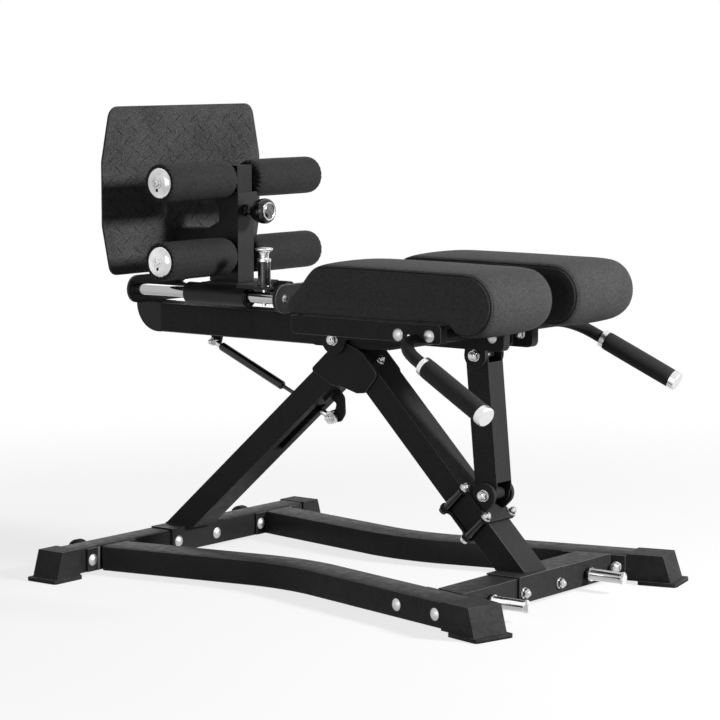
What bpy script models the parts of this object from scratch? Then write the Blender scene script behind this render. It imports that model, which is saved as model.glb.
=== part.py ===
"""Adjustable back extension machine, built at rest as separate solids, in metres, with +Z up.

+X runs from the footplate to the handles, -Y is the near side and the floor is z = 0. The shape
constants use a working X measured from the frame's middle; solid() moves it so that the whole
machine is centred on the origin.
"""
import math

import bmesh
import bpy
from mathutils import Matrix, Vector

for old in list(bpy.data.objects):
    bpy.data.objects.remove(old, do_unlink=True)

GAP = 0.0003  # between neighbouring pieces
RUNNING = 0.0003  # radial, a shaft in its bore
JOIN = 0.001  # how far welded shapes run into each other
ROUND = 24  # sides of an ordinary cylinder
FAR = 0.3  # how far a cutter that goes right through reaches

BEAM_REAR = -0.5965
FRONT_END = 0.5334
CENTRE_X = (BEAM_REAR + FRONT_END) / 2

# Base
TUBE_LOW, TUBE_TOP = 0.008, 0.058
REAR_BAR_X = -0.4877
REAR_BAR_W = 0.058
REAR_BAR_HALF = 0.4005
RAIL_W = 0.075
RAIL_IN = 0.1374  # from the rear bar's end to the middle of the rail
RAIL_REAR = (-0.4616, REAR_BAR_HALF - RAIL_IN)
RAIL_BEND = (-0.0420, 0.1835)
RAIL_FRONT = (0.4949, 0.3169)
RAIL_RADIUS = 0.45
FLANGE = 0.005
FLANGE_IN = (0.2085, 0.0665)
RAIL_FLANGE = tuple(REAR_BAR_HALF - inward for inward in FLANGE_IN)
FLANGE_Z = (0.010, 0.056)
CROSS_X = (0.3330, 0.4015)
CROSS_FLANGE_REACH = 0.030
SADDLE_TOP, SKIRT_T = 0.061, 0.005
REAR_SADDLE_X, REAR_SADDLE_HALF, REAR_SKIRT_LOW = -0.512, 0.080, 0.012
FRONT_SADDLE_X, FRONT_SADDLE_HALF, FRONT_SKIRT_LOW = 0.330, 0.0745, 0.010
TUBE_ROUND = 0.005
SOLE_THICK = 0.0075
SOLE_LENGTH = 0.080
SOLE_SIDE = 0.0058
SOLE_END = 0.012
FOOT_TAPER = 0.0168
FOOT_TOP = 0.0593
FOOT_WEB = 0.004
REAR_FOOT_W, REAR_FOOT_L = 0.0660, 0.050
FRONT_FOOT_W, FRONT_FOOT_L = 0.0782, 0.074
WHEEL_R, WHEEL_W = 0.025, 0.020
WHEEL_IN = 0.1441
WHEEL_AT = (-0.551, REAR_BAR_HALF - WHEEL_IN, 0.0300)
WHEEL_AXLE_R = 0.005
PEG_Y, PEG_Z, PEG_R = 0.1665, 0.031, 0.0115
PEG_COLLAR, PEG_HEAD = 0.0020, 0.0010
PEG_END = 0.485

# A-frame
STRUT_W = 0.070
REAR_SLOPE, REAR_UPPER, REAR_LOWER = 0.885, 0.5140, 0.4472
FRONT_SLOPE, FRONT_UPPER, FRONT_LOWER = -1.02, 0.4615, 0.3901
STRUT_TOP = 0.4565
SLOT_W, SLOT_X = 0.030, (-0.2374, -0.1227)
PIVOT = (-0.0574, 0.4770)
PIVOT_R = 0.006
CRADLE_R = 0.034
EAR_R = 0.024
HEAD_R, HEAD_H, HEAD_SEAT = 0.0100, 0.0080, 0.0008
GUSSET_T = 0.005
GUSSET_UNDER = ((-0.1208, 0.4131), (-0.0676, 0.3855), (-0.0418, 0.3840), (-0.0055, 0.3735),
                (0.0154, 0.3755))
GUSSET_RADII = (0.006, 0.010, 0.020, 0.012, 0.014)
GUSSET_RIGHT, GUSSET_SHOULDER = 0.0470, 0.0045
GUSSET_HIDDEN = ((-0.0300, 0.4700), (-0.0800, 0.4500))

# Gas spring
GAS_TOP = (-0.405, 0.447)
GAS_LOW = (-0.099, 0.314)
GAS_PIN_R = 0.004
GAS_BODY_R, GAS_ROD_R = 0.009, 0.004
GAS_BODY_SPAN = (0.020, 0.198)

# Beam
BEAM_LOW, BEAM_TOP, BEAM_W = 0.461, 0.523, 0.050
BEAM_FRONT = 0.060
CAP_LENGTH = 0.066
PLATE_T, PLATE_NOSE_LOW, PLATE_NOSE_TOP = 0.0054, 0.4815, 0.5320
PLATE_REAR, PLATE_FRONT = -0.120, 0.318
LINK_TOP = (0.2705, 0.4665)
LUG_R = 0.025
LINK_PIN_R, BUSH_R, BUSH_HALF = 0.006, 0.011, 0.0205
BAR_Y = (0.038, 0.058)
BAR_X, BAR_Z = (-0.015, 0.3555), (0.481, 0.5432)
LOBE_R, LOBE_Y = 0.029, (0.0412, 0.048)
SPACER_BLOCK_X, SPACER_BLOCK_Z = (0.100, 0.315), (0.4930, 0.5220)
WING_Y, WING_X, WING_Z = (0.210, 0.230), (-0.017, 0.334), (0.508, 0.5432)
HANDLE_X, HANDLE_Z, HANDLE_R = 0.2765, 0.5125, 0.012
HANDLE_CORNER_Y = 0.2877
HANDLE_END = (0.5037, 0.3268, 0.3982)
HANDLE_BEND = 0.066
GRIP_R, COLLAR_R, COLLAR_L, GRIP_CAP_L = 0.0185, 0.0182, 0.010, 0.014
GRIP_LENGTH = 0.1775
CROSS_MEMBER_X = (0.020, 0.060)

# Hip pads
PAD_Y = (0.036, 0.246)
PAD_LOW, PAD_TOP = 0.5435, 0.640
PAD_NOSE, PAD_NOSE_R = (0.398, 0.583), 0.056
PAD_UNDER_NOSE = ((0.357, PAD_LOW), (0.372, 0.5340))
PAD_TOP_AND_REAR = (
    (0.340, PAD_TOP), (0.240, PAD_TOP + 0.001), (0.140, PAD_TOP + 0.001), (0.074, PAD_TOP),
    (0.053, 0.6370), (0.037, 0.6270), (0.009, 0.5940), (-0.016, 0.5650), (-0.0175, 0.5540),
    (-0.010, 0.5455), (0.004, PAD_LOW), (0.100, PAD_LOW), (0.230, PAD_LOW),
)
PAD_CORNER_LIFT = 0.004
SEAM_IN = 0.0045  # from the plane of the pad's side to its seam
SIDE_CROWN = ((0.0, 0.0300), (0.0014, 0.0120), (0.0030, 0.0040), (SEAM_IN, 0.0012))
CROWN, CROWN_ROWS, CROWN_FLAT = 0.0062, 5, 0.4
BOARD_X, BOARD_CORNER = (0.012, 0.345), 0.010
BOARD_T, BOARD_MARGIN = 0.012, 0.012

# Foot section
ROD_Y, ROD_Z, ROD_R = 0.065, 0.552, 0.012
STADIUM_R = ROD_Z - BEAM_TOP - GAP
REAR_BRACKET_X, ROD_SEAT = (-0.5620, -0.5555), 0.003
FRONT_PLATE_X = (-0.175, -0.166)
SLEEVE_R, SLEEVE_X = 0.0225, (-0.4140, -0.2580)
SLEEVE_WALL, BUSHING_DEEP = 0.0028, 0.006
POST_X, POST_W, POST_WALL = -0.3445, 0.050, 0.002
POST_Z = (0.575, 0.7570)
POST_BAND_Z, POST_BAND_W = (0.731, 0.757), 0.060
INNER_W, INNER_WALL, INNER_Z = 0.0450, 0.002, (0.640, 0.811)
ROLLER_R, ROLLER_Y, ROLLER_BORE = 0.038, (0.033, 0.2315), 0.0103
ROLLER_LIP, LIP_PLAY = 0.0040, 0.0010
LOWER_AXLE_Z, UPPER_AXLE_Z = 0.628, 0.783
AXLE_R, AXLE_CAP_R, AXLE_CAP_Y = 0.010, 0.031, (0.2325, 0.2360)
PLATE_X, PLATE_THICK = -0.485, 0.005
PLATE_CORNERS = ((0.220, 0.931), (0.245, 0.822), (0.245, 0.694), (0.2222, 0.593))
PLATE_RADII = (0.028, 0.050, 0.050, 0.022)
ARM_Z = (0.640, 0.679)
ARM_RISE = ((-0.4030, 0.6800), (-0.3690, 0.6970))
HEEL_X, HEEL_Z = -0.395, (0.575, 0.590, 0.615)
BRIDGE_Z, BRIDGE_IN = (0.5560, 0.5760), 0.030
TAB_Z, TAB_HALF, TAB_IN = (0.569, 0.574), 0.014, 0.020
ROD_PIN_X, ROD_PIN_PITCH = -0.2180, 0.020

# Link and clamp carriage
LINK_LOW = (0.2955, 0.2000)
LINK_W, LINK_WALL, LINK_PLAY = 0.050, 0.003, 0.009
LINK_END_R, SLEEVE_BORE = 0.0195, 0.0082
TOP_MOUTH = 0.015
AXLE_PIN_R, AXLE_HEAD_R = 0.007, 0.0120
EAR_Y, EAR_DISC_R = (0.0260, 0.0340), 0.024
CLAMP_PLAY, CLAMP_T = 0.001, 0.006
CLAMP_REACH, CLAMP_BOLT_IN = (-0.047, 0.047), 0.011
SPACER_Y, SPACER_R = 0.0430, 0.006
STRUT_THICK = 0.050
PIN_R = 0.004
HOUSING_R, HOUSING_LOW, HOUSING_TOP = 0.0115, 0.572, 0.624
KNOB_Z = 0.720
BUSHING_KNOB_R, BUSHING_L = 0.010, 0.019
POST_PIN_R, POST_PIN_PITCH, POST_HOLES = 0.003, 0.010, 7


def solid(name, bm, colour, helper=False, pivot=(0.0, 0.0, 0.0), smooth=False):
    """Makes the object, centred on the machine's middle, with its origin on the pivot."""
    bmesh.ops.remove_doubles(bm, verts=bm.verts, dist=1e-7)
    bmesh.ops.recalc_face_normals(bm, faces=bm.faces)
    middle = Vector((CENTRE_X, 0.0, 0.0))
    origin = Vector(pivot) - middle if any(pivot) else Vector()
    bmesh.ops.translate(bm, verts=bm.verts, vec=-middle - origin)
    mesh = bpy.data.meshes.new(name)
    bm.to_mesh(mesh)
    bm.free()
    obj = bpy.data.objects.new(name, mesh)
    obj.location = origin
    bpy.context.scene.collection.objects.link(obj)
    if smooth:
        mesh.shade_smooth()
    if helper:
        obj.hide_render = True
        obj.display_type = "WIRE"
    else:
        mesh.materials.append(finish(name, colour))
    return obj


def finish(name, colour):
    material = bpy.data.materials.new(name)
    material.use_nodes = True
    shader = material.node_tree.nodes["Principled BSDF"]
    shader.inputs["Base Color"].default_value = (*colour[:3], 1.0)
    shader.inputs["Metallic"].default_value = colour[3]
    shader.inputs["Roughness"].default_value = colour[4]
    return material


POWDER = (0.028, 0.028, 0.030, 0.0, 0.55)
CHROME = (0.75, 0.75, 0.77, 1.0, 0.15)
RUBBER = (0.020, 0.020, 0.020, 0.0, 0.80)
VINYL = (0.030, 0.030, 0.032, 0.0, 0.60)
PLASTIC = (0.018, 0.018, 0.018, 0.0, 0.45)
WOOD = (0.42, 0.30, 0.18, 0.0, 0.70)


def piece(name, colour, body, add=(), cut=(), last=(), pivot=(0.0, 0.0, 0.0), smooth=False):
    """One node: a body, shapes welded onto it, shapes cut from that, and the last ones welded on."""
    obj = solid(name, body, colour, pivot=pivot, smooth=smooth)
    steps = [(shape, "UNION") for shape in add] + [(shape, "DIFFERENCE") for shape in cut]
    steps += [(shape, "UNION") for shape in last]
    for number, (shape, operation) in enumerate(steps):
        tool = solid(f"{name}_tool_{number}", shape, colour, helper=True)
        modifier = obj.modifiers.new(operation.lower(), "BOOLEAN")
        modifier.operation = operation
        modifier.solver = "EXACT"
        modifier.object = tool
    return obj


def skin(loops, closed=False):
    """A solid from loops of points: sides between neighbours, and end faces unless closed."""
    bm = bmesh.new()
    rows = [[bm.verts.new(point) for point in loop] for loop in loops]
    count = len(rows[0])
    pairs = list(zip(rows, rows[1:]))
    if closed:
        pairs.append((rows[-1], rows[0]))
    for low, high in pairs:
        for i in range(count):
            j = (i + 1) % count
            bm.faces.new((low[i], low[j], high[j], high[i]))
    if not closed:
        bm.faces.new(rows[0])
        bm.faces.new(rows[-1])
    return bm


def extrude(outline, axis, low, high):
    """The outline, in the two other axes in X, Y, Z order, pulled along the axis."""
    place = {
        "x": lambda a, b, c: (c, a, b),
        "y": lambda a, b, c: (a, c, b),
        "z": lambda a, b, c: (a, b, c),
    }[axis]
    return skin([[place(a, b, c) for a, b in outline] for c in (low, high)])


def box(x, y, z):
    return extrude([(x[0], y[0]), (x[1], y[0]), (x[1], y[1]), (x[0], y[1])], "z", *z)


def rounded(points, radii, steps=3):
    """The outline with each corner rounded; a radius of 0 leaves the corner sharp."""
    out = []
    count = len(points)
    for i, radius in enumerate(radii):
        here = Vector(points[i])
        before = Vector(points[i - 1]) - here
        after = Vector(points[(i + 1) % count]) - here
        if radius == 0:
            out.append(tuple(here))
            continue
        half = before.angle(after) / 2
        centre = here + (before.normalized() + after.normalized()).normalized() * (radius / math.sin(half))
        start = here + before.normalized() * (radius / math.tan(half)) - centre
        stop = here + after.normalized() * (radius / math.tan(half)) - centre
        turn = start.angle_signed(stop)
        for step in range(steps + 1):
            part = Matrix.Rotation(-turn * step / steps, 2) @ start
            out.append(tuple(centre + part))
    return out


def rectangle(a, b, radius=0.0, steps=2):
    corners = [(a[0], b[0]), (a[1], b[0]), (a[1], b[1]), (a[0], b[1])]
    return rounded(corners, [radius] * 4, steps) if radius else corners


def ring_points(centre, radius, sides=ROUND):
    turns = [2 * math.pi * i / sides for i in range(sides)]
    return [(centre[0] + radius * math.cos(t), centre[1] + radius * math.sin(t)) for t in turns]


def turned(profile, start, along, sides=ROUND, closed=False):
    """A turned shape: profile points are (radius, distance along the axis)."""
    axis = Vector(along).normalized()
    side = axis.orthogonal().normalized()
    other = axis.cross(side)
    loops = []
    for radius, reach in profile:
        spot = Vector(start) + axis * reach
        loops.append(
            [
                spot + radius * (math.cos(t) * side + math.sin(t) * other)
                for t in (2 * math.pi * i / sides for i in range(sides))
            ]
        )
    return skin(loops, closed)


def rod(start, end, radius, sides=ROUND):
    span = Vector(end) - Vector(start)
    return turned([(radius, 0.0), (radius, span.length)], start, span, sides)


def pin_y(x, z, y0, y1, radius, sides=ROUND):
    return rod((x, y0, z), (x, y1, z), radius, sides)


def sweep(path, section):
    """The section, as (across, up) points, carried along the path with its up kept towards +Z."""
    path = [Vector(point) for point in path]
    up = Vector((0.0, 0.0, 1.0))
    loops = []
    for i, spot in enumerate(path):
        into = (spot - path[i - 1]).normalized() if i else (path[1] - spot).normalized()
        out = (path[i + 1] - spot).normalized() if i + 1 < len(path) else into
        tangent = (into + out).normalized()
        widen = 1.0 / max(tangent.dot(into), 0.5)
        across = tangent.cross(up).normalized()
        over = across.cross(tangent)
        loops.append([spot + across * (a * widen) + over * b for a, b in section])
    return skin(loops)


def bent(points, radius, steps=8):
    """The path with each inner corner replaced by an arc of this radius."""
    points = [Vector(point) for point in points]
    out = [points[0]]
    for before, here, after in zip(points, points[1:], points[2:]):
        a, b = (before - here).normalized(), (after - here).normalized()
        half = a.angle(b) / 2
        centre = here + (a + b).normalized() * (radius / math.sin(half))
        start = here + a * (radius / math.tan(half)) - centre
        stop = here + b * (radius / math.tan(half)) - centre
        axis = start.cross(stop)
        turn = start.angle(stop)
        for step in range(steps + 1):
            out.append(centre + Matrix.Rotation(turn * step / steps, 3, axis) @ start)
    return out + [points[-1]]


def mirrored(side, points):
    """Points written for +Y, put on the side -1 or 1 of the machine."""
    return [(x, side * y, *rest) for x, y, *rest in points]


def span(side, pair):
    return sorted((side * pair[0], side * pair[1]))


SIDES = (("near", -1), ("far", 1))


def rail_offset(x, front):
    """How far out the rail's centre line runs at x, on its rear or its front straight."""
    a, b = (RAIL_BEND, RAIL_FRONT) if front else (RAIL_REAR, RAIL_BEND)
    return a[1] + (x - a[0]) * (b[1] - a[1]) / (b[0] - a[0])


def foot(name, end, along, tube_w, cap_w, sleeve):
    """A cap over a tube's end, on a wider sole. End is the tube side's top edge of the cap."""
    along = Vector((*along, 0.0)).normalized()
    turn = Matrix((along, Vector((0, 0, 1)).cross(along), Vector((0, 0, 1)))).transposed().to_4x4()
    place = Matrix.Translation(Vector((*end, 0.0))) @ turn
    low = SOLE_THICK - JOIN
    block = extrude(
        [(-sleeve, low), (FOOT_TAPER, low), (0.0, FOOT_TOP), (-sleeve, FOOT_TOP)], "y",
        -cap_w / 2, cap_w / 2,
    )
    reach = FOOT_TAPER + SOLE_END
    half = cap_w / 2 + SOLE_SIDE
    sole = extrude(
        rectangle((reach - SOLE_LENGTH, reach), (-half, half), 0.006), "z", 0.0, SOLE_THICK
    )
    hollow = box(
        (-sleeve - JOIN, -FOOT_WEB),
        (-tube_w / 2 - GAP, tube_w / 2 + GAP),
        (TUBE_LOW - GAP, TUBE_TOP + GAP),
    )
    for shape in (block, sole, hollow):
        bmesh.ops.transform(shape, matrix=place, verts=shape.verts)
    return piece(name, RUBBER, block, add=[sole], cut=[hollow])


def build_base():
    bar_front = REAR_BAR_X + REAR_BAR_W / 2
    bar_rear = REAR_BAR_X - REAR_BAR_W / 2
    section = rectangle((bar_rear, bar_front), (TUBE_LOW, TUBE_TOP), TUBE_ROUND)
    bar = extrude(section, "y", -REAR_BAR_HALF, REAR_BAR_HALF)
    cheeks = []
    for _, side in SIDES:
        for inner in (-1, 1):
            face = WHEEL_AT[1] + inner * (WHEEL_W / 2 + 0.001)
            outline = rounded(
                [(bar_rear + JOIN, 0.014), (bar_rear + JOIN, 0.046),
                 (WHEEL_AT[0] - 0.011, 0.041), (WHEEL_AT[0] - 0.011, 0.019)],
                [0, 0, 0.010, 0.010],
            )
            cheeks.append(extrude(outline, "y", *span(side, (face, face + inner * 0.004))))
        reach = WHEEL_W / 2 + 0.007
        cheeks.append(
            pin_y(WHEEL_AT[0], WHEEL_AT[2], side * WHEEL_AT[1] - reach, side * WHEEL_AT[1] + reach,
                  WHEEL_AXLE_R, 14)
        )
    piece("rear_crossbar", POWDER, bar, add=cheeks)
    for word, side in SIDES:
        foot(f"rear_foot_{word}", (REAR_BAR_X, side * (REAR_BAR_HALF + FOOT_WEB)), (0.0, side),
             REAR_BAR_W, REAR_FOOT_W, REAR_FOOT_L)
        piece(
            f"wheel_{word}", RUBBER,
            turned(
                [(WHEEL_AXLE_R + RUNNING, 0.0), (WHEEL_R - 0.003, 0.0), (WHEEL_R, 0.003),
                 (WHEEL_R, WHEEL_W - 0.003), (WHEEL_R - 0.003, WHEEL_W),
                 (WHEEL_AXLE_R + RUNNING, WHEEL_W)],
                (WHEEL_AT[0], side * WHEEL_AT[1] - WHEEL_W / 2, WHEEL_AT[2]), (0, 1, 0), closed=True,
            ),
            pivot=(WHEEL_AT[0], side * WHEEL_AT[1], WHEEL_AT[2]), smooth=True,
        )
        rail_end = bar_front + GAP + FLANGE - JOIN
        outer = Vector((RAIL_FRONT[0] - RAIL_BEND[0], RAIL_FRONT[1] - RAIL_BEND[1])).normalized()
        web = FOOT_WEB + GAP
        rail_tip = (RAIL_FRONT[0] - web * outer.x, RAIL_FRONT[1] - web * outer.y)
        path = [(rail_end, rail_offset(rail_end, False)), RAIL_BEND, rail_tip]
        middle = (TUBE_LOW + TUBE_TOP) / 2
        path = bent([(x, side * y, middle) for x, y in path], RAIL_RADIUS, 8)
        half_h = (TUBE_TOP - TUBE_LOW) / 2
        section = rectangle((-RAIL_W / 2, RAIL_W / 2), (-half_h, half_h), TUBE_ROUND)
        flange = box((bar_front + GAP, bar_front + GAP + FLANGE), span(side, RAIL_FLANGE), FLANGE_Z)
        cut = [box((bar_front - 0.1, bar_front + GAP), (-0.5, 0.5), (0.0, 0.1))]
        piece(f"side_rail_{word}", POWDER, sweep(path, section), add=[flange], cut=cut)
        foot(f"front_foot_{word}", (RAIL_FRONT[0], side * RAIL_FRONT[1]), (outer.x, side * outer.y),
             RAIL_W, FRONT_FOOT_W, FRONT_FOOT_L)

    slant = (RAIL_FRONT[1] - RAIL_BEND[1]) / (RAIL_FRONT[0] - RAIL_BEND[0])
    away = RAIL_W / 2 * math.hypot(1.0, slant) + GAP

    def face(x, more):
        return rail_offset(x, True) - away - more * math.hypot(1.0, slant)

    low, high = CROSS_X
    outline = [(low, -face(low, FLANGE - JOIN)), (high, -face(high, FLANGE - JOIN)),
               (high, face(high, FLANGE - JOIN)), (low, face(low, FLANGE - JOIN))]
    ends = []
    for _, side in SIDES:
        a, b = low - CROSS_FLANGE_REACH, high + CROSS_FLANGE_REACH
        plate = [(a, face(a, 0.0)), (b, face(b, 0.0)), (b, face(b, FLANGE)), (a, face(a, FLANGE))]
        ends.append(extrude(mirrored(side, plate), "z", *FLANGE_Z))
    piece("front_crossbar", POWDER, extrude(outline, "z", TUBE_LOW, TUBE_TOP), add=ends)
    for word, side in SIDES:
        spot = (high + GAP, side * PEG_Y, PEG_Z)
        piece(
            f"band_peg_{word}", CHROME,
            turned(
                [(PEG_R + PEG_COLLAR, 0.0), (PEG_R + PEG_COLLAR, 0.005), (PEG_R, 0.005),
                 (PEG_R, PEG_END - high - 0.004), (PEG_R + PEG_HEAD, PEG_END - high - 0.004),
                 (PEG_R + PEG_HEAD, PEG_END - high)],
                spot, (1, 0, 0), 24,
            ),
            smooth=False,
        )


def strut(slope, upper, lower, foot_z, top):
    """The strut's outline from the side, cut off level at the foot and at the top."""
    return [((foot_z - upper) / slope, foot_z), ((top - upper) / slope, top),
            ((top - lower) / slope, top), ((foot_z - lower) / slope, foot_z)]


def saddle_plate(start, bar_face, half, low):
    """The bent plate under a strut: it lies on the crossbar and turns down its +X face."""
    inner = bar_face + GAP
    outer = inner + SKIRT_T
    return extrude(
        [(start, TUBE_TOP + GAP), (inner, TUBE_TOP + GAP), (inner, low), (outer, low),
         (outer, SADDLE_TOP), (start, SADDLE_TOP)],
        "y", -half, half,
    )


def build_frame():
    half = STRUT_W / 2
    bar_front = REAR_BAR_X + REAR_BAR_W / 2
    meet_low = (FRONT_LOWER - REAR_LOWER) / (REAR_SLOPE - FRONT_SLOPE)
    meet_up = (FRONT_LOWER - REAR_UPPER) / (REAR_SLOPE - FRONT_SLOPE)
    clear = GAP * 1.5
    foot_z = SADDLE_TOP - JOIN
    rear = [
        ((foot_z - REAR_UPPER) / REAR_SLOPE, foot_z),
        (meet_up - clear, REAR_UPPER + REAR_SLOPE * (meet_up - clear)),
        (meet_low - clear, REAR_LOWER + REAR_SLOPE * (meet_low - clear)),
        ((foot_z - REAR_LOWER) / REAR_SLOPE, foot_z),
    ]
    saddle = saddle_plate(REAR_SADDLE_X, bar_front, REAR_SADDLE_HALF, REAR_SKIRT_LOW)
    normal = Vector((-REAR_SLOPE, 1.0)).normalized()
    low, high = (Vector((x, REAR_LOWER + REAR_SLOPE * x)) for x in SLOT_X)
    slot = [tuple(end + normal * lift) for end, lift in
            ((low, -0.03), (high, -0.03), (high, 0.08), (low, 0.08))]
    piece(
        "rear_strut", POWDER, extrude(rear, "y", -half, half), add=[saddle],
        cut=[cradle(), extrude(slot, "y", -SLOT_W / 2, SLOT_W / 2)],
    )
    front = strut(FRONT_SLOPE, FRONT_UPPER, FRONT_LOWER, SADDLE_TOP - JOIN, STRUT_TOP)
    saddle = saddle_plate(FRONT_SADDLE_X, CROSS_X[1], FRONT_SADDLE_HALF, FRONT_SKIRT_LOW)
    piece("front_strut", POWDER, extrude(front, "y", -half, half), add=[saddle], cut=[cradle()])


def cradle():
    return pin_y(*PIVOT, -FAR, FAR, CRADLE_R, 32)


def plate_near_far(side, inner, outline, thick):
    """A plate whose inner face stands at the distance inner from the middle plane."""
    return extrude(outline, "y", *span(side, (inner, inner + thick)))


def build_apex():
    """The gusset plates beside the struts' tops, with the ears that hold the pivot bolt."""
    half = STRUT_W / 2 + GAP
    on_strut = [(x, FRONT_UPPER + FRONT_SLOPE * x) for x in (GUSSET_RIGHT, GUSSET_SHOULDER)]
    outline = list(GUSSET_UNDER) + on_strut + list(GUSSET_HIDDEN)
    radii = list(GUSSET_RADII) + [0.012, 0.003, 0, 0.004]
    for word, side in SIDES:
        piece(
            f"gusset_{word}", POWDER, plate_near_far(side, half, rounded(outline, radii, 4), GUSSET_T),
            add=[pin_y(PIVOT[0], PIVOT[1], *span(side, (half, half + GUSSET_T)), EAR_R)],
            cut=[pin_y(*PIVOT, -FAR, FAR, PIVOT_R + RUNNING, 16)],
        )
    reach = LOBE_Y[1] + HEAD_SEAT
    piece(
        "pivot_bolt", CHROME,
        turned(
            [(HEAD_R, -HEAD_H), (HEAD_R, 0.0), (PIVOT_R, 0.0), (PIVOT_R, 2 * reach),
             (HEAD_R, 2 * reach), (HEAD_R, 2 * reach + HEAD_H)],
            (PIVOT[0], -reach, PIVOT[1]), (0, 1, 0), 20,
        ),
        pivot=(PIVOT[0], 0.0, PIVOT[1]),
    )


def build_hooks():
    """The curved plate under the rear strut, with the pin of the gas spring's lower eye on its near face."""
    inner, thick = 0.0075, 0.005
    drop = GAP * math.hypot(1.0, REAR_SLOPE)

    def under(x, more):
        return (x, REAR_LOWER + REAR_SLOPE * x - drop - more)

    hook = [under(-0.1080, 0.0), under(-0.0870, 0.0), (-0.0740, 0.3560), (-0.0720, 0.3220),
            (-0.0830, 0.3050), (-0.1110, 0.3040), (-0.1130, 0.3270), (-0.0960, 0.3290),
            (-0.0920, 0.3420)]
    radii = [0, 0, 0.014, 0.016, 0.012, 0.012, 0.012, 0.006, 0.006]
    shapes = [plate_near_far(1, inner, rounded(hook, radii, 4), thick)]
    a, b = -0.1090, -0.0870
    base = [under(a, 0.0), under(b, 0.0), under(b + 0.003, 0.007), under(a + 0.003, 0.007)]
    pin = pin_y(*GAS_LOW, -inner - 0.005, inner + thick, GAS_PIN_R, 14)
    wide = inner + thick
    piece("spring_hook", POWDER, extrude(base, "y", -wide, wide), add=shapes + [pin])


def build_gas_spring():
    """Cylinder and rod between the pin under the beam and the pin on the hook plates."""
    top, low = Vector((GAS_TOP[0], 0.0, GAS_TOP[1])), Vector((GAS_LOW[0], 0.0, GAS_LOW[1]))
    length = (low - top).length
    along = (low - top) / length
    start, stop = GAS_BODY_SPAN
    eye = 0.0085
    body = turned(
        [(0.005, eye - 0.002), (0.005, start), (GAS_BODY_R, start + 0.003), (GAS_BODY_R, stop - 0.003),
         (GAS_BODY_R - 0.002, stop)],
        top, along, 24,
    )
    knuckle = pin_y(*GAS_TOP, -0.006, 0.006, eye, 16)
    hole = pin_y(*GAS_TOP, -0.02, 0.02, GAS_PIN_R + RUNNING, 14)
    barrel = turned([(GAS_ROD_R + RUNNING, 0.030), (GAS_ROD_R + RUNNING, stop + 0.01)], top, along, 14)
    piece("gas_cylinder", PLASTIC, body, add=[knuckle], cut=[hole, barrel],
          pivot=(GAS_TOP[0], 0.0, GAS_TOP[1]))
    eye_low = 0.0125
    shaft = turned(
        [(GAS_ROD_R, 0.118), (GAS_ROD_R, length - eye_low - 0.014), (0.0055, length - eye_low - 0.014),
         (0.0055, length - eye_low + 0.002)],
        top, along, 20,
    )
    knuckle = pin_y(*GAS_LOW, -0.006, 0.006, eye_low, 20)
    hole = pin_y(*GAS_LOW, -0.02, 0.02, GAS_PIN_R + 0.0045, 16)
    piece("gas_rod", POWDER, shaft, add=[knuckle], cut=[hole], pivot=(GAS_LOW[0], 0.0, GAS_LOW[1]))


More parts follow.
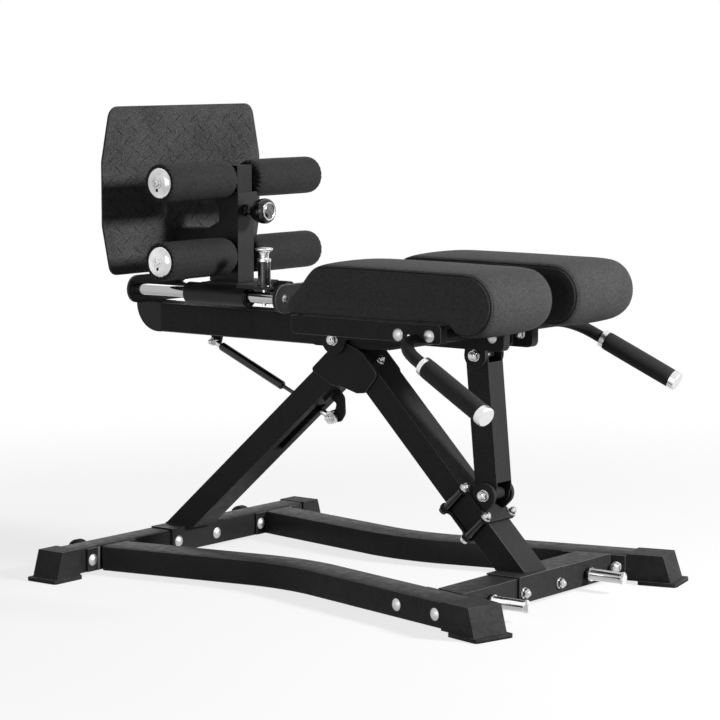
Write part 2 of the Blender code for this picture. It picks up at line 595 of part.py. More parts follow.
def build_beam():
    half = BEAM_W / 2
    cap_end = BEAM_REAR + CAP_LENGTH
    tube = extrude(rectangle((-half, half), (BEAM_LOW, BEAM_TOP), 0.005), "x", cap_end + GAP, BEAM_FRONT)
    lug_in, lug_thick = 0.0068, 0.004
    lug = rounded(
        [(GAS_TOP[0] - 0.016, BEAM_LOW + JOIN), (GAS_TOP[0] - 0.010, GAS_TOP[1] - 0.010),
         (GAS_TOP[0] + 0.010, GAS_TOP[1] - 0.010), (GAS_TOP[0] + 0.016, BEAM_LOW + JOIN)],
        [0, 0.008, 0.008, 0],
    )
    lugs = [plate_near_far(1, lug_in, lug, lug_thick),
            pin_y(*GAS_TOP, -lug_in - 0.0035, lug_in + lug_thick, GAS_PIN_R, 14)]
    bolt = pin_y(*PIVOT, -FAR, FAR, PIVOT_R + RUNNING, 16)
    piece("main_beam", POWDER, tube, add=lugs, cut=[bolt])
    cap = rounded(
        [(BEAM_REAR, BEAM_TOP), (BEAM_REAR, BEAM_LOW), (cap_end, BEAM_LOW), (cap_end, BEAM_TOP)],
        [0.004, 0.058, 0, 0], 10,
    )
    piece("beam_cap", PLASTIC, extrude(cap, "y", -half, half))

    for word, side in SIDES:
        inner = half + GAP
        outline = [(PLATE_REAR, BEAM_LOW), (0.030, BEAM_LOW), (0.103, 0.4726), (0.150, PLATE_NOSE_LOW),
                   (0.240, PLATE_NOSE_LOW), (0.240, BEAM_TOP), (PLATE_REAR, BEAM_TOP)]
        neck = (LINK_TOP[0] - LUG_R + JOIN, LINK_TOP[0] + LUG_R - JOIN)
        neck_low = LINK_TOP[1] - 0.004
        step = PLATE_NOSE_LOW + 0.0035
        nose = [(0.225, PLATE_NOSE_LOW), (neck[0], PLATE_NOSE_LOW), (neck[0], neck_low),
                (neck[1], neck_low), (neck[1], step), (PLATE_FRONT, step),
                (PLATE_FRONT, PLATE_NOSE_TOP), (0.225, PLATE_NOSE_TOP)]
        sheet = plate_near_far(side, inner, rounded(outline, [0.004, 0, 0, 0, 0, 0, 0.004]), PLATE_T)
        nose = plate_near_far(side, inner, rounded(nose, [0, 0, 0, 0, 0, 0.006, 0.004, 0.004]), PLATE_T)
        block = box(SPACER_BLOCK_X, span(side, (inner + PLATE_T - JOIN, BAR_Y[0] - GAP)), SPACER_BLOCK_Z)
        lug = pin_y(*LINK_TOP, *span(side, (inner, inner + PLATE_T)), LUG_R)
        cuts = [
            pin_y(*PIVOT, -FAR, FAR, PIVOT_R + RUNNING, 16),
            pin_y(*LINK_TOP, -FAR, FAR, LINK_PIN_R + RUNNING, 16),
            pin_y(HANDLE_X, HANDLE_Z, -FAR, FAR, HANDLE_R + RUNNING, 20),
        ]
        piece(f"side_plate_{word}", POWDER, sheet, add=[nose, lug, block], cut=cuts)
        tube = extrude(
            rounded(
                [(BAR_X[0], BAR_Z[0]), (BAR_X[1], BAR_Z[0]), (BAR_X[1], BAR_Z[1]), (BAR_X[0], BAR_Z[1])],
                [0.003, 0.012, 0.003, 0.003], 4,
            ),
            "y", *span(side, BAR_Y),
        )
        lobe = pin_y(*PIVOT, *span(side, LOBE_Y), LOBE_R)
        web = extrude(
            [(PIVOT[0], PIVOT[1] - 0.010), (BAR_X[0] + 0.004, PIVOT[1] + 0.006),
             (BAR_X[0] + 0.004, BAR_Z[1]), (PIVOT[0] - 0.024, BAR_Z[1]), (PIVOT[0] - 0.026, PIVOT[1])],
            "y", *span(side, LOBE_Y),
        )
        cuts = [
            pin_y(*PIVOT, -FAR, FAR, PIVOT_R + RUNNING, 16),
            pin_y(HANDLE_X, HANDLE_Z, -FAR, FAR, HANDLE_R + RUNNING, 20),
            box((CROSS_MEMBER_X[0] - GAP, CROSS_MEMBER_X[1] + GAP), (-0.1, 0.1), (BEAM_TOP, 0.6)),
        ]
        piece(f"centre_bar_{word}", POWDER, tube, add=[lobe, web], cut=cuts)
        wing = extrude(
            rounded(
                [(WING_X[0], WING_Z[0]), (WING_X[1], WING_Z[0]), (WING_X[1], WING_Z[1]),
                 (WING_X[0], WING_Z[1])],
                [0.010, 0.006, 0.006, 0.003], 4,
            ),
            "y", *span(side, WING_Y),
        )
        piece(f"wing_rail_{word}", POWDER, wing,
              cut=[pin_y(HANDLE_X, HANDLE_Z, -FAR, FAR, HANDLE_R + RUNNING, 20)])
    reach = BEAM_W / 2 + GAP + PLATE_T + HEAD_SEAT
    piece(
        "link_pin", CHROME,
        turned(
            [(HEAD_R, -HEAD_H), (HEAD_R, 0.0), (LINK_PIN_R, 0.0), (LINK_PIN_R, reach - BUSH_HALF),
             (BUSH_R, reach - BUSH_HALF), (BUSH_R, reach + BUSH_HALF), (LINK_PIN_R, reach + BUSH_HALF),
             (LINK_PIN_R, 2 * reach), (HEAD_R, 2 * reach), (HEAD_R, 2 * reach + HEAD_H)],
            (LINK_TOP[0], -reach, LINK_TOP[1]), (0, 1, 0), 20,
        ),
    )
    low, high = CROSS_MEMBER_X
    member = extrude(
        rectangle((low, high), (BEAM_TOP + GAP, WING_Z[1] - 0.0002), 0.003), "y",
        -WING_Y[0] + GAP, WING_Y[0] - GAP,
    )
    piece("cross_member", POWDER, member)


def build_handles():
    corner = (HANDLE_X, HANDLE_CORNER_Y, HANDLE_Z)
    start = Vector(corner)
    end = Vector(HANDLE_END)
    along = (end - start).normalized()
    grip_start = end - along * GRIP_LENGTH
    stop = end - along * (GRIP_CAP_L + GAP)
    half = [(HANDLE_X, 0.0, HANDLE_Z), corner, tuple(stop)]
    arm = bent(half, HANDLE_BEND, 6)
    other = [Vector((p.x, -p.y, p.z)) for p in arm]
    path = list(reversed(other)) + arm[1:]
    piece("handle_tube", POWDER, sweep(path, ring_points((0, 0), HANDLE_R, 18)), smooth=False)
    for word, side in SIDES:
        def put(vector, side=side):
            return Vector((vector.x, side * vector.y, vector.z))

        axis = put(along)
        base = put(grip_start)
        bore = HANDLE_R + RUNNING
        piece(f"grip_collar_{word}", CHROME,
              turned([(bore, 0.0), (COLLAR_R, 0.0), (COLLAR_R, COLLAR_L), (bore, COLLAR_L)], base, axis,
                     closed=True))
        low, high = COLLAR_L + GAP, GRIP_LENGTH - GRIP_CAP_L - GAP
        piece(f"grip_{word}", RUBBER,
              turned([(bore, low), (GRIP_R - 0.001, low), (GRIP_R, low + 0.002), (GRIP_R, high),
                      (bore, high)], base, axis, closed=True))
        low, high = GRIP_LENGTH - GRIP_CAP_L, GRIP_LENGTH
        piece(f"grip_cap_{word}", CHROME,
              turned([(GRIP_R + 0.0003, low), (GRIP_R + 0.0003, high - 0.002), (GRIP_R - 0.0017, high)],
                     base, axis))


def pad_profile():
    """The pad from the side: flat bottom, drooping nose, long top and slanted rear."""
    cx, cz = PAD_NOSE
    r = PAD_NOSE_R
    points = list(PAD_UNDER_NOSE)
    for step in range(11):
        angle = math.radians(-115 + step * 20.5)
        points.append((cx + r * math.cos(angle), cz + r * math.sin(angle)))
    points += list(PAD_TOP_AND_REAR)
    return [Vector(point) for point in points]


def shrunk(points, amount):
    """The outline moved inwards by the amount; outwards, its flat bottom keeps its height."""
    out = []
    for i, here in enumerate(points):
        before, after = points[i - 1], points[(i + 1) % len(points)]
        normal = Vector(((after - before).y, -(after - before).x)).normalized()
        moved = here - normal * amount
        flat = here.y < PAD_LOW + PAD_CORNER_LIFT and here.x < PAD_UNDER_NOSE[0][0] + GAP
        if flat and amount < 0:
            moved.y = here.y
        out.append(moved)
    return out


def pad_rows():
    """Where the pad's outlines stand across it, and how far each is drawn in, from side to side."""
    near, far = PAD_Y
    inner, outer = near + SEAM_IN, far - SEAM_IN
    rows = [(near + across, drawn) for across, drawn in SIDE_CROWN]
    for number in range(1, 2 * CROWN_ROWS):
        share = (1.0 - math.cos(math.pi * number / (2 * CROWN_ROWS))) / 2
        rows.append((inner + (outer - inner) * share, -CROWN * math.sin(math.pi * share) ** CROWN_FLAT))
    return rows + [(far - across, drawn) for across, drawn in reversed(SIDE_CROWN)]


def board_shape(side, more, low):
    """The board under a pad, grown by more on every side but its lower one."""
    x = (BOARD_X[0] - more, BOARD_X[1] + more)
    y = span(side, (PAD_Y[0] + BOARD_MARGIN - more, PAD_Y[1] - BOARD_MARGIN + more))
    return extrude(rectangle(x, y, BOARD_CORNER, 3), "z", low, PAD_LOW + BOARD_T + more)


def build_pads():
    profile = pad_profile()
    for word, side in SIDES:
        loops = []
        for y, drawn in pad_rows():
            loops.append([(p.x, side * y, p.y) for p in shrunk(profile, drawn)])
        board = board_shape(side, 0.0, PAD_LOW)
        room = board_shape(side, GAP, PAD_LOW - BOARD_T)
        piece(f"hip_pad_{word}", VINYL, skin(loops), cut=[room])
        piece(f"pad_board_{word}", WOOD, board)


def stadium(height, radius, x0, x1):
    points = []
    for step in range(13):
        t = math.radians(-90 + 15 * step)
        points.append((ROD_Y + radius * math.cos(t), height + radius * math.sin(t)))
    for step in range(13):
        t = math.radians(90 + 15 * step)
        points.append((-ROD_Y + radius * math.cos(t), height + radius * math.sin(t)))
    return extrude(points, "x", x0, x1)


def build_foot():
    for word, side in SIDES:
        holes = []
        if side < 0:
            for number in range(-5, 2):
                x = ROD_PIN_X + number * ROD_PIN_PITCH
                holes.append(rod((x, side * ROD_Y, ROD_Z - 0.02), (x, side * ROD_Y, ROD_Z + 0.02),
                                 PIN_R + RUNNING, 16))
        piece(
            f"guide_rod_{word}", CHROME,
            rod((REAR_BRACKET_X[1] - ROD_SEAT, side * ROD_Y, ROD_Z),
                (FRONT_PLATE_X[0] - GAP, side * ROD_Y, ROD_Z), ROD_R, 20),
            cut=holes,
        )
    sockets = [rod((REAR_BRACKET_X[1] - ROD_SEAT - GAP, s * ROD_Y, ROD_Z),
                   (REAR_BRACKET_X[1] + ROD_SEAT, s * ROD_Y, ROD_Z), ROD_R + GAP, 20) for s in (-1, 1)]
    piece("rod_rear_bracket", PLASTIC, stadium(ROD_Z, STADIUM_R, *REAR_BRACKET_X), cut=sockets)
    piece("rod_front_plate", POWDER, stadium(ROD_Z, STADIUM_R, *FRONT_PLATE_X))

    shapes, cuts = [], []
    for side in (-1, 1):
        shapes.append(rod((SLEEVE_X[0], side * ROD_Y, ROD_Z), (SLEEVE_X[1], side * ROD_Y, ROD_Z), SLEEVE_R))
        cuts.append(rod((SLEEVE_X[0] - 0.01, side * ROD_Y, ROD_Z), (SLEEVE_X[1] + 0.01, side * ROD_Y, ROD_Z),
                        ROD_R + RUNNING, 20))
        for face, inward in ((SLEEVE_X[0], 1), (SLEEVE_X[1], -1)):
            cuts.append(rod((face - inward * 0.01, side * ROD_Y, ROD_Z),
                            (face + inward * BUSHING_DEEP, side * ROD_Y, ROD_Z), SLEEVE_R - SLEEVE_WALL))
    half = POST_W / 2
    shapes.append(box((POST_X - half, POST_X + half), (-half, half), (POST_Z[0] - 0.03, POST_Z[1])))
    band = POST_BAND_W / 2
    shapes.append(box((POST_X - band, POST_X + band), (-band, band), POST_BAND_Z))
    root = POST_X - half + JOIN
    arm = [(root, ARM_Z[0]), (PLATE_X + GAP, ARM_Z[0]), (PLATE_X + GAP, ARM_Z[1]),
           *ARM_RISE, (root, ARM_RISE[-1][1])]
    shapes.append(extrude(arm, "y", -half, half))
    heel = [(root, HEEL_Z[0]), (HEEL_X, HEEL_Z[0]), (HEEL_X, HEEL_Z[1]), (root, HEEL_Z[2])]
    shapes.append(extrude(heel, "y", -half, half))
    shapes.append(box((SLEEVE_X[1] - TAB_IN, ROD_PIN_X + TAB_HALF), (-ROD_Y - TAB_HALF, -ROD_Y + TAB_HALF),
                      TAB_Z))
    shapes.append(rod((ROD_PIN_X, -ROD_Y, HOUSING_LOW), (ROD_PIN_X, -ROD_Y, HOUSING_TOP), HOUSING_R))
    shapes.append(rod((POST_X + half - JOIN, 0.0, KNOB_Z), (POST_X + half + BUSHING_L, 0.0, KNOB_Z),
                      BUSHING_KNOB_R))
    inner = INNER_W / 2 + GAP
    cuts.append(box((POST_X - inner, POST_X + inner), (-inner, inner), (POST_Z[0] + 0.004, POST_Z[1] + 0.01)))
    cuts.append(rod((ROD_PIN_X, -ROD_Y, 0.560), (ROD_PIN_X, -ROD_Y, HOUSING_TOP + 0.01),
                    PIN_R + RUNNING, 16))
    cuts.append(rod((POST_X, 0.0, KNOB_Z), (POST_X + 0.08, 0.0, KNOB_Z), POST_PIN_R + RUNNING, 16))
    cuts.append(pin_y(POST_X, LOWER_AXLE_Z, -0.06, 0.06, AXLE_R + RUNNING, 16))
    bridge = box((SLEEVE_X[0] + BRIDGE_IN, SLEEVE_X[1] - BRIDGE_IN), (-ROD_Y, ROD_Y), BRIDGE_Z)
    piece("foot_carriage", POWDER, bridge, add=shapes, cut=cuts)

    whole = list(PLATE_CORNERS) + [(-y, z) for y, z in reversed(PLATE_CORNERS)]
    plate = rounded(whole, list(PLATE_RADII) + list(reversed(PLATE_RADII)), 5)
    piece("footplate", POWDER, extrude(plate, "x", PLATE_X - PLATE_THICK, PLATE_X))


def build_post():
    outer = INNER_W / 2
    inner = outer - INNER_WALL
    body = box((POST_X - outer, POST_X + outer), (-outer, outer), INNER_Z)
    cuts = [
        box((POST_X - inner, POST_X + inner), (-inner, inner), (INNER_Z[0] - 0.01, INNER_Z[1] - 0.003)),
        pin_y(POST_X, UPPER_AXLE_Z, -0.06, 0.06, AXLE_R + RUNNING, 16),
    ]
    for number in range(POST_HOLES):
        z = KNOB_Z - number * POST_PIN_PITCH
        cuts.append(rod((POST_X, 0.0, z), (POST_X + 0.06, 0.0, z), POST_PIN_R + RUNNING, 12))
    piece("inner_post", POWDER, body, cut=cuts)
    face = POST_X + POST_W / 2
    piece(
        "post_knob", PLASTIC,
        turned(
            [(POST_PIN_R, -0.008), (POST_PIN_R, BUSHING_L + GAP), (0.0130, BUSHING_L + GAP),
             (0.0165, 0.022), (0.0225, 0.030), (0.0230, 0.048), (0.0215, 0.060), (0.0180, 0.0615)],
            (face, 0.0, KNOB_Z), (1, 0, 0), 24,
        ),
        pivot=(face, 0.0, KNOB_Z), smooth=False,
    )
    piece(
        "rod_pin", PLASTIC,
        turned(
            [(PIN_R, 0.536), (PIN_R, HOUSING_TOP + GAP), (0.0095, HOUSING_TOP + GAP), (0.0095, 0.640),
             (0.0150, 0.647), (0.0170, 0.650), (0.0150, 0.653)],
            (ROD_PIN_X, -ROD_Y, 0.0), (0, 0, 1), 24,
        ),
        pivot=(ROD_PIN_X, -ROD_Y, HOUSING_TOP), smooth=False,
    )


def build_rollers():
    for level, z in (("lower", LOWER_AXLE_Z), ("upper", UPPER_AXLE_Z)):
        low, high = AXLE_CAP_Y
        piece(
            f"{level}_axle", CHROME,
            turned(
                [(0.016, -high - 0.0025), (AXLE_CAP_R - 0.006, -high), (AXLE_CAP_R, -low - 0.0005),
                 (AXLE_CAP_R, -low), (AXLE_R, -low), (AXLE_R, low), (AXLE_CAP_R, low),
                 (AXLE_CAP_R, low + 0.0005), (AXLE_CAP_R - 0.006, high), (0.016, high + 0.0025)],
                (POST_X, 0.0, z), (0, 1, 0), 28,
            ),
        )
        for word, side in SIDES:
            a, b = ROLLER_Y
            r = ROLLER_R
            room = AXLE_CAP_R + LIP_PLAY
            piece(
                f"{level}_roller_{word}", VINYL,
                turned(
                    [(ROLLER_BORE, a), (r - 0.010, a), (r - 0.003, a + 0.003), (r, a + 0.010),
                     (r, b - 0.005), (r - 0.003, b + ROLLER_LIP), (room, b + ROLLER_LIP / 3), (room, b),
                     (ROLLER_BORE, b)],
                    (POST_X, 0.0, z), (0, side, 0), ROUND, closed=True,
                ),
                pivot=(POST_X, side * a, z), smooth=True,
            )


def build_link():
    """The link and the clamp carriage that it pushes along the front strut."""
    top = Vector((LINK_TOP[0], LINK_TOP[1]))
    low = Vector((LINK_LOW[0], LINK_LOW[1]))
    along = (low - top).normalized()
    across = Vector((-along.y, along.x))
    if across.x < 0:
        across.negate()
    half = LINK_W / 2

    def spot(reach, over):
        point = top + along * reach + across * over
        return (point.x, point.y)

    length = (low - top).length
    inner = half - LINK_WALL
    neck = length - 0.012
    mouth = length - 0.023
    body = [spot(0.0, -half), spot(0.0, half), spot(neck, half), spot(length, LINK_END_R),
            spot(length, -LINK_END_R), spot(neck, -half)]
    open_top = extrude([spot(-0.03, -inner), spot(-0.03, half + 0.01), spot(TOP_MOUTH, half + 0.01),
                        spot(TOP_MOUTH, inner), spot(0.045 + JOIN, inner), spot(0.045 + JOIN, -inner)],
                       "y", -inner, inner)
    room = [spot(0.045, -inner), spot(0.045, inner), spot(mouth, inner), spot(mouth, half + 0.01),
            spot(length + 0.03, half + 0.01), spot(length + 0.03, -half), spot(length - 0.012, -half),
            spot(length - 0.016, -inner)]
    piece(
        "link", POWDER, extrude(body, "y", -half, half),
        add=[pin_y(top.x, top.y, -half, half, half), pin_y(low.x, low.y, -half, half, LINK_END_R)],
        cut=[
            extrude(room, "y", -inner, inner),
            open_top,
            pin_y(top.x, top.y, -0.05, 0.05, LINK_PIN_R + LINK_PLAY, 20),
            pin_y(low.x, low.y, -0.05, 0.05, AXLE_PIN_R + RUNNING, 16),
        ],
        last=[
            turned([(SLEEVE_BORE, -inner - JOIN), (0.0115, -inner - JOIN), (0.0115, inner + JOIN),
                    (SLEEVE_BORE, inner + JOIN)], (low.x, 0.0, low.y), (0, 1, 0), 20, closed=True)
        ],
        pivot=(low.x, 0.0, low.y),
    )

    lean = math.hypot(1.0, FRONT_SLOPE)
    down = Vector((1.0, FRONT_SLOPE)).normalized()
    up = Vector((-down.y, down.x))

    def on_strut(reach, lift):
        """A point reach along the strut from below the link's axle, lift above its upper face."""
        foot = low + up * (-(low.y - (FRONT_UPPER + FRONT_SLOPE * low.x)) / lean)
        point = foot + down * reach + up * lift
        return (point.x, point.y)

    a, b = CLAMP_REACH
    wide = SPACER_Y + SPACER_R + 0.002
    waist = STRUT_W / 2 + 0.004

    def waisted(lift):
        """A clamp plate: square to the strut, its sides drawn in between the bolts."""
        quarter = [(a, wide), (a + 0.017, wide - 0.002), (a + 0.026, waist), (b - 0.026, waist),
                   (b - 0.017, wide - 0.002), (b, wide)]
        whole = quarter + [(r, -y) for r, y in reversed(quarter)]
        radii = [0.007, 0.006, 0.006, 0.006, 0.006, 0.007]
        outline = rounded(whole, radii + list(reversed(radii)), 3)
        loops = []
        for level in (lift, lift + CLAMP_T):
            row = []
            for reach, y in outline:
                x, z = on_strut(reach, level)
                row.append((x, y, z))
            loops.append(row)
        return skin(loops)

    ears = []
    for _, side in SIDES:
        y0, y1 = EAR_Y
        ears.append(pin_y(low.x, low.y, *span(side, (y0, y1)), EAR_DISC_R))
        web = [on_strut(-EAR_DISC_R, CLAMP_PLAY + CLAMP_T - JOIN),
               on_strut(EAR_DISC_R, CLAMP_PLAY + CLAMP_T - JOIN),
               (low.x + down.x * EAR_DISC_R, low.y + down.y * EAR_DISC_R),
               (low.x - down.x * EAR_DISC_R, low.y - down.y * EAR_DISC_R)]
        ears.append(extrude(web, "y", *span(side, (y0, y1))))
    piece("clamp_front_plate", POWDER, waisted(CLAMP_PLAY), add=ears,
          cut=[pin_y(low.x, low.y, -FAR, FAR, AXLE_PIN_R + RUNNING, 16)])
    deep = -STRUT_THICK - CLAMP_PLAY
    spacers = []
    for side in (-1, 1):
        for reach in (a + CLAMP_BOLT_IN, b - CLAMP_BOLT_IN):
            p, q = on_strut(reach, CLAMP_PLAY - GAP), on_strut(reach, deep - JOIN)
            spacers.append(rod((p[0], side * SPACER_Y, p[1]), (q[0], side * SPACER_Y, q[1]), SPACER_R, 14))
    piece("clamp_back_plate", POWDER, waisted(deep - CLAMP_T), add=spacers)
    reach = EAR_Y[1] + HEAD_SEAT
    piece(
        "link_axle", CHROME,
        turned(
            [(AXLE_HEAD_R, -HEAD_H), (AXLE_HEAD_R, 0.0), (AXLE_PIN_R, 0.0), (AXLE_PIN_R, 2 * reach),
             (AXLE_HEAD_R, 2 * reach), (AXLE_HEAD_R, 2 * reach + HEAD_H)],
            (low.x, -reach, low.y), (0, 1, 0), 20,
        ),
    )


build_base()
build_frame()
build_apex()
build_hooks()
build_gas_spring()
build_beam()
build_handles()
build_pads()
build_foot()
build_post()
build_rollers()
build_link()
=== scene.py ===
"""Looks of an adjustable back extension machine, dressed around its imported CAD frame.

Lengths are in metres, and the profiles inside mm() in millimetres. +X runs from the footplate to the
handles, -Y is the near side and the floor is z = 0. Places are written against the machine's own X,
and spot() moves them into the frame.
"""

import math

import bmesh
import bpy
from mathutils import Matrix, Vector

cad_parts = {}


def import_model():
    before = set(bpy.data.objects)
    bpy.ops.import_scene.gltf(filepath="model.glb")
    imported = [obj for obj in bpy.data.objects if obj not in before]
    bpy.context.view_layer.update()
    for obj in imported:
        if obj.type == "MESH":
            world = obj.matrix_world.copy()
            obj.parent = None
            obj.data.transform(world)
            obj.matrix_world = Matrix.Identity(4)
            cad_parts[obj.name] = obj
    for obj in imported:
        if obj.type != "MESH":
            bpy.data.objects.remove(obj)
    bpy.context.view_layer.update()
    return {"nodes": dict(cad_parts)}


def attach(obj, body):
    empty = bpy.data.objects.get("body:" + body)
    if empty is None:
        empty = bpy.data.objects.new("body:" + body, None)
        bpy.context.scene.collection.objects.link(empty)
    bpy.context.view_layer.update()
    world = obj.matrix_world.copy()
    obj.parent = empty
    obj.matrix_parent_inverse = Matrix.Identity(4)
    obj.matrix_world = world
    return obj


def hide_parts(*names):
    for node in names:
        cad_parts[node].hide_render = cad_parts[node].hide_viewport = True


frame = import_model()
NODES = frame["nodes"]

MID_X = 0.03155  # from the machine's own X to the frame's X
SIDES = (("near", -1), ("far", 1))
AHEAD, BEHIND, FAR, UP = Vector((1, 0, 0)), Vector((-1, 0, 0)), Vector((0, 1, 0)), Vector((0, 0, 1))


def spot(x, y, z):
    return Vector((x + MID_X, y, z))


def mm(*points):
    """A profile's points in metres, given in millimetres."""
    return [tuple(number / 1000 for number in point) for point in points]


# Materials

def add_node(tree, kind, inputs=None, **settings):
    """A new node, each of whose inputs takes a value or joins another node's output."""
    made = tree.nodes.new(kind)
    for key, value in settings.items():
        setattr(made, key, value)
    for socket, value in (inputs or {}).items():
        if isinstance(value, bpy.types.NodeSocket):
            tree.links.new(value, made.inputs[socket])
        else:
            made.inputs[socket].default_value = value
    return made


class Paint:
    """A material's node tree, with short calls that add and join nodes."""

    def __init__(self, name, roughness, metallic=0.0, specular=0.5, **sockets):
        self.material = bpy.data.materials.new(name)
        self.material.use_nodes = True
        self.tree = self.material.node_tree
        self.shader = self.tree.nodes["Principled BSDF"]
        sockets.update(Roughness=roughness, Metallic=metallic, Specular_IOR_Level=specular)
        for socket, value in sockets.items():
            self.shader.inputs[socket.replace("_", " ")].default_value = value
        self.place = self.node("ShaderNodeTexCoord").outputs["Object"]

    def node(self, kind, inputs=None, **settings):
        return add_node(self.tree, kind, inputs, **settings)

    def feed(self, socket, source):
        self.tree.links.new(source, self.shader.inputs[socket])

    def stretched(self, scale):
        return self.node("ShaderNodeMapping", {"Vector": self.place, "Scale": scale}).outputs["Vector"]

    def noise(self, scale, detail=2.0, roughness=0.5, vector=None):
        inputs = {"Vector": vector or self.place, "Scale": scale, "Detail": detail, "Roughness": roughness}
        return self.node("ShaderNodeTexNoise", inputs).outputs["Fac"]

    def cells(self, scale, feature):
        inputs = {"Vector": self.place, "Scale": scale}
        return self.node("ShaderNodeTexVoronoi", inputs, feature=feature).outputs["Distance"]

    def spread(self, value, low, high, from_low=0.3, from_high=0.7):
        inputs = {"Value": value, "From Min": from_low, "From Max": from_high, "To Min": low, "To Max": high}
        return self.node("ShaderNodeMapRange", inputs).outputs["Result"]

    def maths(self, operation, *values, **settings):
        inputs = dict(enumerate(values))
        return self.node("ShaderNodeMath", inputs, operation=operation, **settings).outputs["Value"]

    def colour(self, value, dark, light):
        """The base colour runs from dark to light as the value runs from 0 to 1."""
        made = self.node("ShaderNodeMix", {"Factor": value}, data_type="RGBA")
        for socket in made.inputs:
            if socket.type == "RGBA" and socket.name in ("A", "B"):
                socket.default_value = (*(dark if socket.name == "A" else light), 1.0)
        self.feed("Base Color", next(output for output in made.outputs if output.type == "RGBA"))

    def rough(self, value, low, high):
        self.feed("Roughness", self.spread(value, low, high))

    def bump(self, height, distance, strength, below=None):
        inputs = {"Height": height, "Distance": distance, "Strength": strength}
        if below is not None:
            inputs["Normal"] = below
        normal = self.node("ShaderNodeBump", inputs).outputs["Normal"]
        self.feed("Normal", normal)
        return normal

    def polish(self, roughness, scratch):
        """Small changes of gloss, and hair scratches."""
        self.rough(self.noise(160.0, 4.0, 0.65), *roughness)
        self.bump(self.noise(60.0, 3.0, 0.7, self.stretched((1.0, 14.0, 14.0))), 0.00004, scratch)


def grey(value):
    return (value, value, value)


def powder_coat(name, dark, light, grain, roughness=(0.42, 0.58), fleck_scale=620.0, specular=0.08):
    """Black powder coat: a fine pebbled film with faint clouding and a speckle in its gloss."""
    paint = Paint(name, 0.5, specular=specular)
    cloud = paint.spread(paint.noise(9.0, 3.0), 0.0, 0.40)
    fleck = paint.spread(paint.noise(fleck_scale, 1.0), 0.0, 1.0)
    tone = paint.maths("ADD", cloud, paint.maths("MULTIPLY", fleck, fleck), use_clamp=True)
    paint.colour(tone, grey(dark), grey(light))
    paint.rough(paint.noise(55.0), *roughness)
    broad = paint.bump(paint.noise(28.0), 0.0003, 0.10)
    paint.bump(paint.noise(fleck_scale * 1.25, 2.0, 0.6), 0.00022, grain, broad)
    return paint.material


def plated(name, tone, roughness, scratch=0.1, deep=0.9, patch=35.0):
    """Bright plated steel, clouded a little in patches."""
    paint = Paint(name, 0.15, metallic=1.0)
    paint.colour(paint.spread(paint.noise(patch, 3.0), 0.0, 1.0), grey(tone * deep), grey(tone))
    paint.polish(roughness, scratch)
    return paint.material


def bar_with_painted_reflections(name, dark, light, roughness):
    """Polished bar along X, with lengthwise streaks that are partly those of its drawing and partly painted
    reflection bands.
    """
    paint = Paint(name, 0.12, metallic=1.0)
    streak_and_reflection = paint.noise(75.0, 1.0, 0.4, paint.stretched((0.015, 1.0, 1.0)))
    paint.colour(paint.spread(streak_and_reflection, 0.0, 1.0, 0.42, 0.56), grey(dark), grey(light))
    paint.polish(roughness, 0.1)
    return paint.material


def vinyl(name, dark, light, grain, cell, specular):
    """Upholstery vinyl: pebble grain, clouded colour and a soft sheen."""
    paint = Paint(name, 0.5, specular=specular, Sheen_Weight=0.01, Sheen_Roughness=0.45)
    pebble = paint.spread(paint.cells(cell, "DISTANCE_TO_EDGE"), 0.0, 1.0, 0.0, 0.32)
    cloud = paint.spread(paint.noise(14.0, 4.0), 0.82, 1.0)
    paint.colour(paint.maths("MULTIPLY", pebble, cloud), grey(dark), grey(light))
    paint.rough(paint.noise(240.0, 3.0), 0.44, 0.60)
    soft = paint.bump(paint.noise(26.0, 3.0), 0.0006, 0.06)
    paint.bump(pebble, 0.00036, grain, soft)
    return paint.material


def foam_rubber(name, dark, light):
    """Closed-cell foam: open pores and a dry, rough skin."""
    paint = Paint(name, 0.80, specular=0.22)
    pore = paint.spread(paint.cells(1150.0, "F1"), 1.0, 0.0, 0.1, 0.55)
    shade = paint.maths("MULTIPLY", pore, paint.spread(paint.noise(70.0), 0.4, 1.0))
    paint.colour(shade, grey(dark), grey(light))
    paint.rough(paint.noise(300.0), 0.78, 0.95)
    paint.bump(pore, 0.0004, 0.55)
    return paint.material


def moulded(name, dark, light, roughness, grain, specular):
    """Moulded black plastic or rubber with a fine spark-eroded texture."""
    paint = Paint(name, 0.5, specular=specular)
    paint.colour(paint.spread(paint.noise(30.0, 3.0), 0.0, 1.0), grey(dark), grey(light))
    paint.rough(paint.noise(130.0, 3.0), *roughness)
    paint.bump(paint.noise(900.0), 0.00015, grain)
    return paint.material


def plywood(name):
    """The pads' boards: long grain on the flat faces, and edges painted near-black as the shade of the gap
    under the pads.
    """
    paint = Paint(name, 0.7, specular=0.3)
    grain = paint.noise(30.0, 5.0, 0.6, paint.stretched((0.4, 3.0, 60.0)))
    facing = paint.node("ShaderNodeTexCoord").outputs["Normal"]
    # Upright faces, the board's edges, go near-black: painted shade in the gap under the pad.
    level = paint.maths("ABSOLUTE", paint.node("ShaderNodeSeparateXYZ", {0: facing}).outputs["Z"])
    shade = paint.maths("MULTIPLY", paint.spread(grain, 0.35, 1.0), paint.spread(level, 0.0, 1.0, 0.7, 0.9))
    paint.colour(shade, (0.016, 0.015, 0.014), (0.50, 0.36, 0.21))
    paint.rough(paint.noise(90.0), 0.6, 0.85)
    paint.bump(grain, 0.0003, 0.3)
    return paint.material


